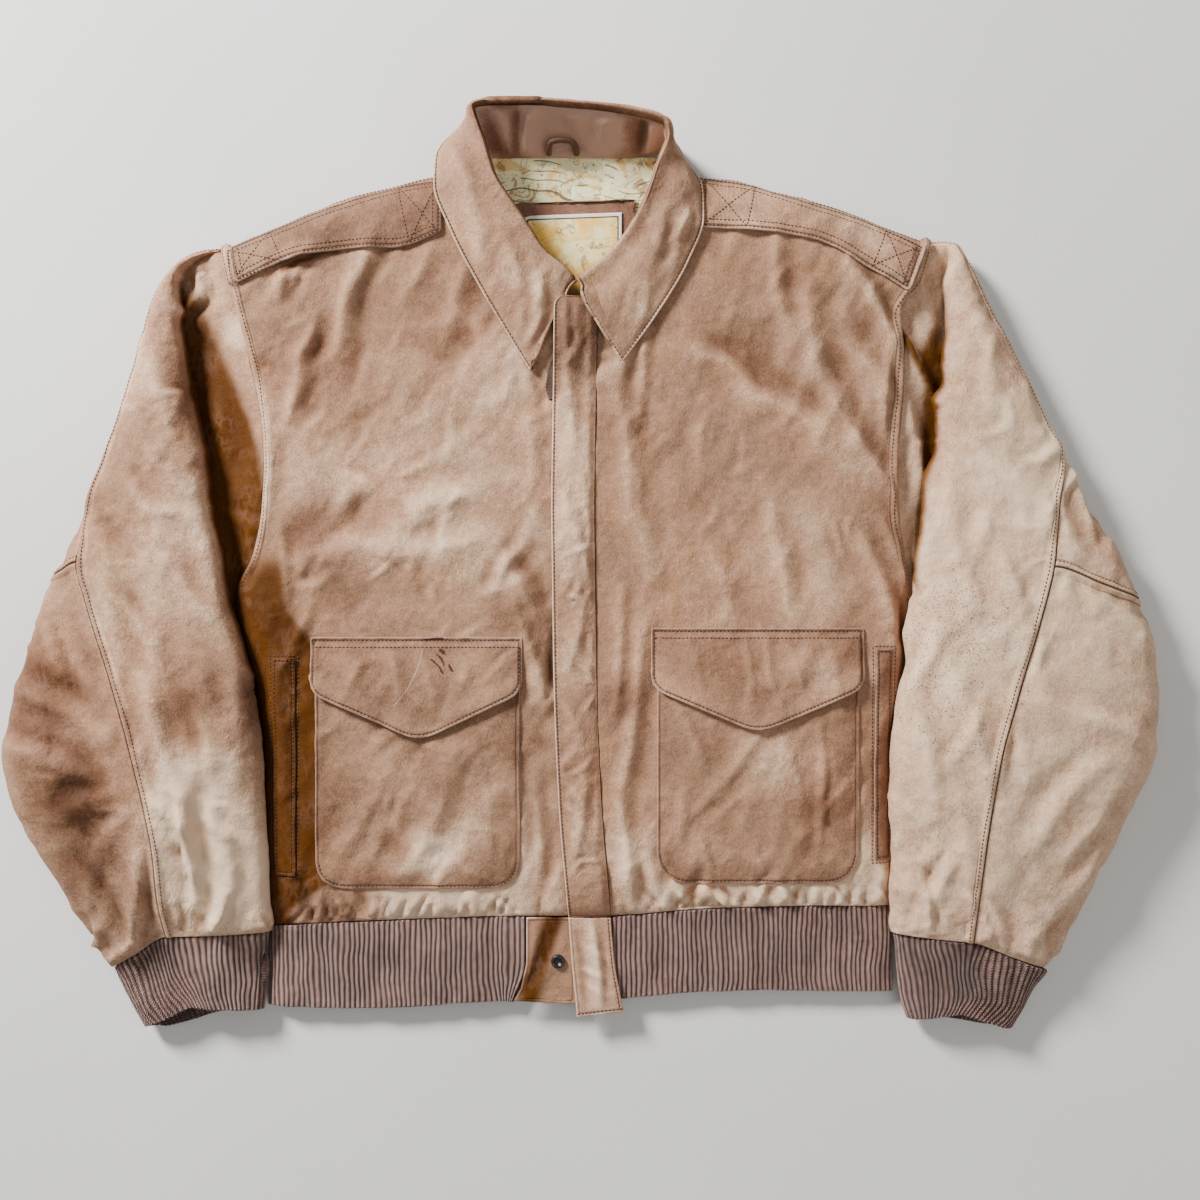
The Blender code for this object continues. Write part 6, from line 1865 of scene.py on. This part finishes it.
def make_stand(dark):
    """The stand behind the neck, from the collar's roll down to the neck seam."""
    rows = []
    for index in range(4, len(COLLAR) - 4):
        roll, inwards = collar_place(index)
        top = roll + inwards * 2.7 - Vector((0, 0, ROLL_DROP + 0.3))
        behind_neck = max(0.0, min(1.0, (roll.y - 352) / 30))
        side_foot = Vector((roll.x, roll.y, max(front_height(RIGHT, abs(roll.x) + 2, roll.y), 30) + 3.0))
        neck_foot = Vector((roll.x * 0.93, NECK_SEAM_Y, NECK_SEAM_Z + 1.0))
        foot = side_foot.lerp(neck_foot, behind_neck)
        middle = top.lerp(foot, 0.5) + Vector((0, 0, -1.5 * behind_neck))
        rows.append([foot, middle, top])
    grid, _, _ = fine(rows, 2.4)
    x, y = grid[..., 0], grid[..., 1]
    run = from_side(grid, 0)
    edge = from_rims(grid, *COLUMN_ENDS)
    folds = rows_of(
        Crease, (-46, 360, -40, 392, 2, 6, 3.4), (-60, 362, -70, 386, 0, 7, 1.8),
        (58, 360, 60, 386, -2, 5, 3.4), (18, 362, 26, 388, 2, 9, 1.6), (-20, 384, 30, 378, 1, 5, 1.2))
    depth = (1.5 * creased(folds, x, y) + uneven(run, y, 20, 195) * 1.5) * ramp_up(edge, 0.5, 7)
    grid = grid + facing(grid, -1) * depth[..., None]
    # Painted highlight behind the neck, painted shade in the folds near both ends, and raised folds painted
    # lighter.
    lit = 0.85 * bell(x + 18, 22) * ramp_up(y, 362, 380) - 0.42 * bell(x - 48, 18)
    cloth("collar_stand", grid, STAND_WALL, dark, "dark_leather", out=-1,
          fade=1.06 + lit + 0.14 * depth.clip(-2, 2) - 0.42 * bell(x + 61, 15), crest=depth, sewn=9.0,
          worked=0.0, edge=edge + 2)


def make_neck(lining, patch, dark):
    """The lining in the neck, its patch and the patch's border."""
    slope = np.array(LINING_SLOPE)

    def on_slope(name, outline, lift, thickness, finish, slot, amount, seed, ragged=0.0, **marks):
        """A sheet that lies on the neck's slope."""
        plan = filled(outline, 2.2)
        x, y = plan[..., 0], plan[..., 1]
        torn_top = ragged * uneven(x, x * 0 + 3, 4.0, seed + 2) * np.exp((y - y.max()) / 4)
        torn_side = ragged * uneven(y, y * 0 + 7, 4.0, seed + 3) * np.exp((x - x.max()) / 4)
        x += torn_side
        y += torn_top
        edge = to_outline(plan, outline)
        soft = (uneven(x, y * 0.6, 15, seed) + 0.5 * uneven(x, y, 7, seed + 1)) * amount * ramp_up(edge, 1, 8)
        height = np.interp(y, slope[:, 0], slope[:, 1]) + lift + thickness + np.maximum(soft, -0.1)
        # Painted shade at the bottom of the neck's V.
        return cloth(name, np.dstack([x, y, height]), thickness, finish, slot, edge=edge, crest=soft,
                     shade=0.75 * (1 - ramp_up(y, 240, 254)), **marks)

    on_slope("neck_lining", NECK_LINING, 0.0, LINING, lining, "lining", 1.2, 201)
    left, right, far, fall, band, length = PATCH.values()
    foot = far - length
    plate = [(left, far - fall), (right, far), (right, foot), (6, 233), (-14, 233), (left, foot)]
    on_slope("neck_patch_border", plate, LINING + 1.4, BORDER_THICK, dark, "dark_leather", 0.2, 203,
             ragged=1.3, fade=0.5, sewn=9.0)
    left, right, top = left + band, right - band, far - band
    shape = [(left, top - fall), (right, top), (right, foot), (6, 234), (-14, 234), (left, foot)]
    on_slope("neck_patch", shape, LINING + 1.4 + BORDER_THICK + 0.2, LINING, patch, "patch", 0.2, 205)


def make_small_parts(dark, tape, steel, front_right):
    """The snap, the hanger loop and the sliver of the zip's tape that shows."""
    bm = bmesh.new()
    x, y = SNAP_PLACE
    foot = TAB_RIGHT_Z + SEAM + 0.2
    line = [bm.verts.new(Vector((x + reach, y, foot + height)) * MM) for reach, height in SNAP_SECTION]
    edges = [bm.edges.new(pair) for pair in zip(line, line[1:])]
    bmesh.ops.spin(bm, geom=line + edges, cent=Vector((x, y, 0)) * MM, axis=(0, 0, 1), angle=math.tau,
                   steps=48, use_merge=True)
    bmesh.ops.remove_doubles(bm, verts=bm.verts[:], dist=0.01 * MM)
    bmesh.ops.holes_fill(bm, edges=[edge for edge in bm.edges if edge.is_boundary], sides=0)
    bmesh.ops.recalc_face_normals(bm, faces=bm.faces[:])
    mesh = mesh_of(bm, "snap_ring")
    mesh.shade_smooth()
    ring = put_in_scene("snap_ring", mesh, steel)
    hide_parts("snap")
    curve = bpy.data.curves.new("loop", "CURVE")
    curve.dimensions = "3D"
    curve.bevel_depth = LOOP_RADIUS * 1.4 * MM
    curve.bevel_resolution = 3
    curve.use_fill_caps = True
    path = curve_points(LOOP_PATH, 6)
    spline = curve.splines.new("POLY")
    spline.points.add(len(path) - 1)
    _, foot_y, foot_z = LOOP_PATH[0]
    for point, place in zip(spline.points, path):
        point.co = (place.x * MM, (foot_y + (place.y - foot_y) * LOOP_REACH) * MM,
                    (foot_z + (place.z - foot_z) * LOOP_RISE) * MM, 1.0)
    strap = bpy.data.objects.new("loop_form", curve)
    mesh = bpy.data.meshes.new_from_object(strap)
    bpy.data.objects.remove(strap)
    turned_out(mesh)
    loop = put_in_scene("hanger_loop_strap", mesh, dark)
    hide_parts("hanger_loop")
    ground = Ground(front_right)
    make_laid("zip", ZIP_SLIVER, ground, SEAM, ZIP_TAPE, tape, "zip_tape", wild=0.0, step=2.0)


# Soft lamps: name, place and width in metres, and power
LIGHTS = (("window", (-1.75, 1.75, 1.30), 0.7, 232.0), ("fill", (1.4, -0.9, 2.0), 2.2, 14.0))
CAMERA_PLACE = (0.017, -0.024, 1.150)
CAMERA_LENS = 39.2


def make_stage():
    """A pale floor, soft light and the camera straight above."""
    bm = bmesh.new()
    bmesh.ops.create_grid(bm, x_segments=1, y_segments=1, size=3.0)
    mesh = mesh_of(bm, "floor")
    floor = bpy.data.objects.new("floor", mesh)
    floor.location.z = -0.0005
    mesh.materials.append(floor_finish())
    bpy.context.scene.collection.objects.link(floor)
    for name, place, size, power in LIGHTS:
        lamp = bpy.data.lights.new(name, "AREA")
        lamp.shape = "DISK"
        lamp.size = size
        lamp.energy = power
        holder = bpy.data.objects.new(name, lamp)
        holder.location = place
        holder.rotation_euler = (-Vector(place)).to_track_quat("-Z", "Y").to_euler()
        bpy.context.scene.collection.objects.link(holder)
    world = bpy.data.worlds.new("studio")
    world.use_nodes = True
    world.node_tree.nodes["Background"].inputs["Color"].default_value = (1.0, 0.98, 0.95, 1.0)
    world.node_tree.nodes["Background"].inputs["Strength"].default_value = 0.38
    bpy.context.scene.world = world
    camera = bpy.data.cameras.new("camera")
    camera.lens = CAMERA_LENS
    camera.sensor_width = 36.0
    holder = bpy.data.objects.new("camera", camera)
    holder.location = CAMERA_PLACE
    bpy.context.scene.collection.objects.link(holder)
    bpy.context.scene.camera = holder


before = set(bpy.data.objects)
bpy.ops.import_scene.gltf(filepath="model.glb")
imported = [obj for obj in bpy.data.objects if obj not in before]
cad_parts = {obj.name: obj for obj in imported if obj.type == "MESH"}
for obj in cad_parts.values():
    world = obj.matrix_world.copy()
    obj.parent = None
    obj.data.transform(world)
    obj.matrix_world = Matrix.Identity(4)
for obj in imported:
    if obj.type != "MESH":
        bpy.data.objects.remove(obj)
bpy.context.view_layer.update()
tan = leather_finish("tan_leather", TAN)
torn_tan = leather_finish("torn_tan_leather", TAN, torn=True)
specked_tan = leather_finish("specked_tan_leather", TAN, specked=True)
dark_leather = leather_finish("dark_leather_worn", DARK, shine=0.36, gloss=0.34, cracks=0.6)
knit = knit_finish()
sewing = Sewing()
fronts = {}
for side, word in ((RIGHT, "right"), (LEFT, "left")):
    fronts[side] = make_front(side, word, tan, sewing)
    make_waistband(side, word, knit)
    make_cuff(side, word, make_sleeve(side, word, specked_tan if side == LEFT else tan, sewing), knit)
    make_pocket(side, word, fronts[side], tan, torn_tan if side == RIGHT else tan, sewing)
    make_epaulette(side, word, fronts[side], tan, sewing)
make_back(tan, knit)
make_wind_flap(tan, sewing)
make_tabs(tan, leather_finish("rubbed_tan_leather", TAN, shine=0.38, gloss=0.35, cracks=0.5), sewing)
make_collar(tan, dark_leather, sewing)
make_neck(lining_finish(), patch_finish(), dark_leather)
make_small_parts(dark_leather, tape_finish(),
                 metal_finish("black_steel", (0.012, 0.011, 0.01), (0.12, 0.11, 0.1), 0.38), fronts[RIGHT])
sewing.make("stitches", thread_finish())
make_stage()
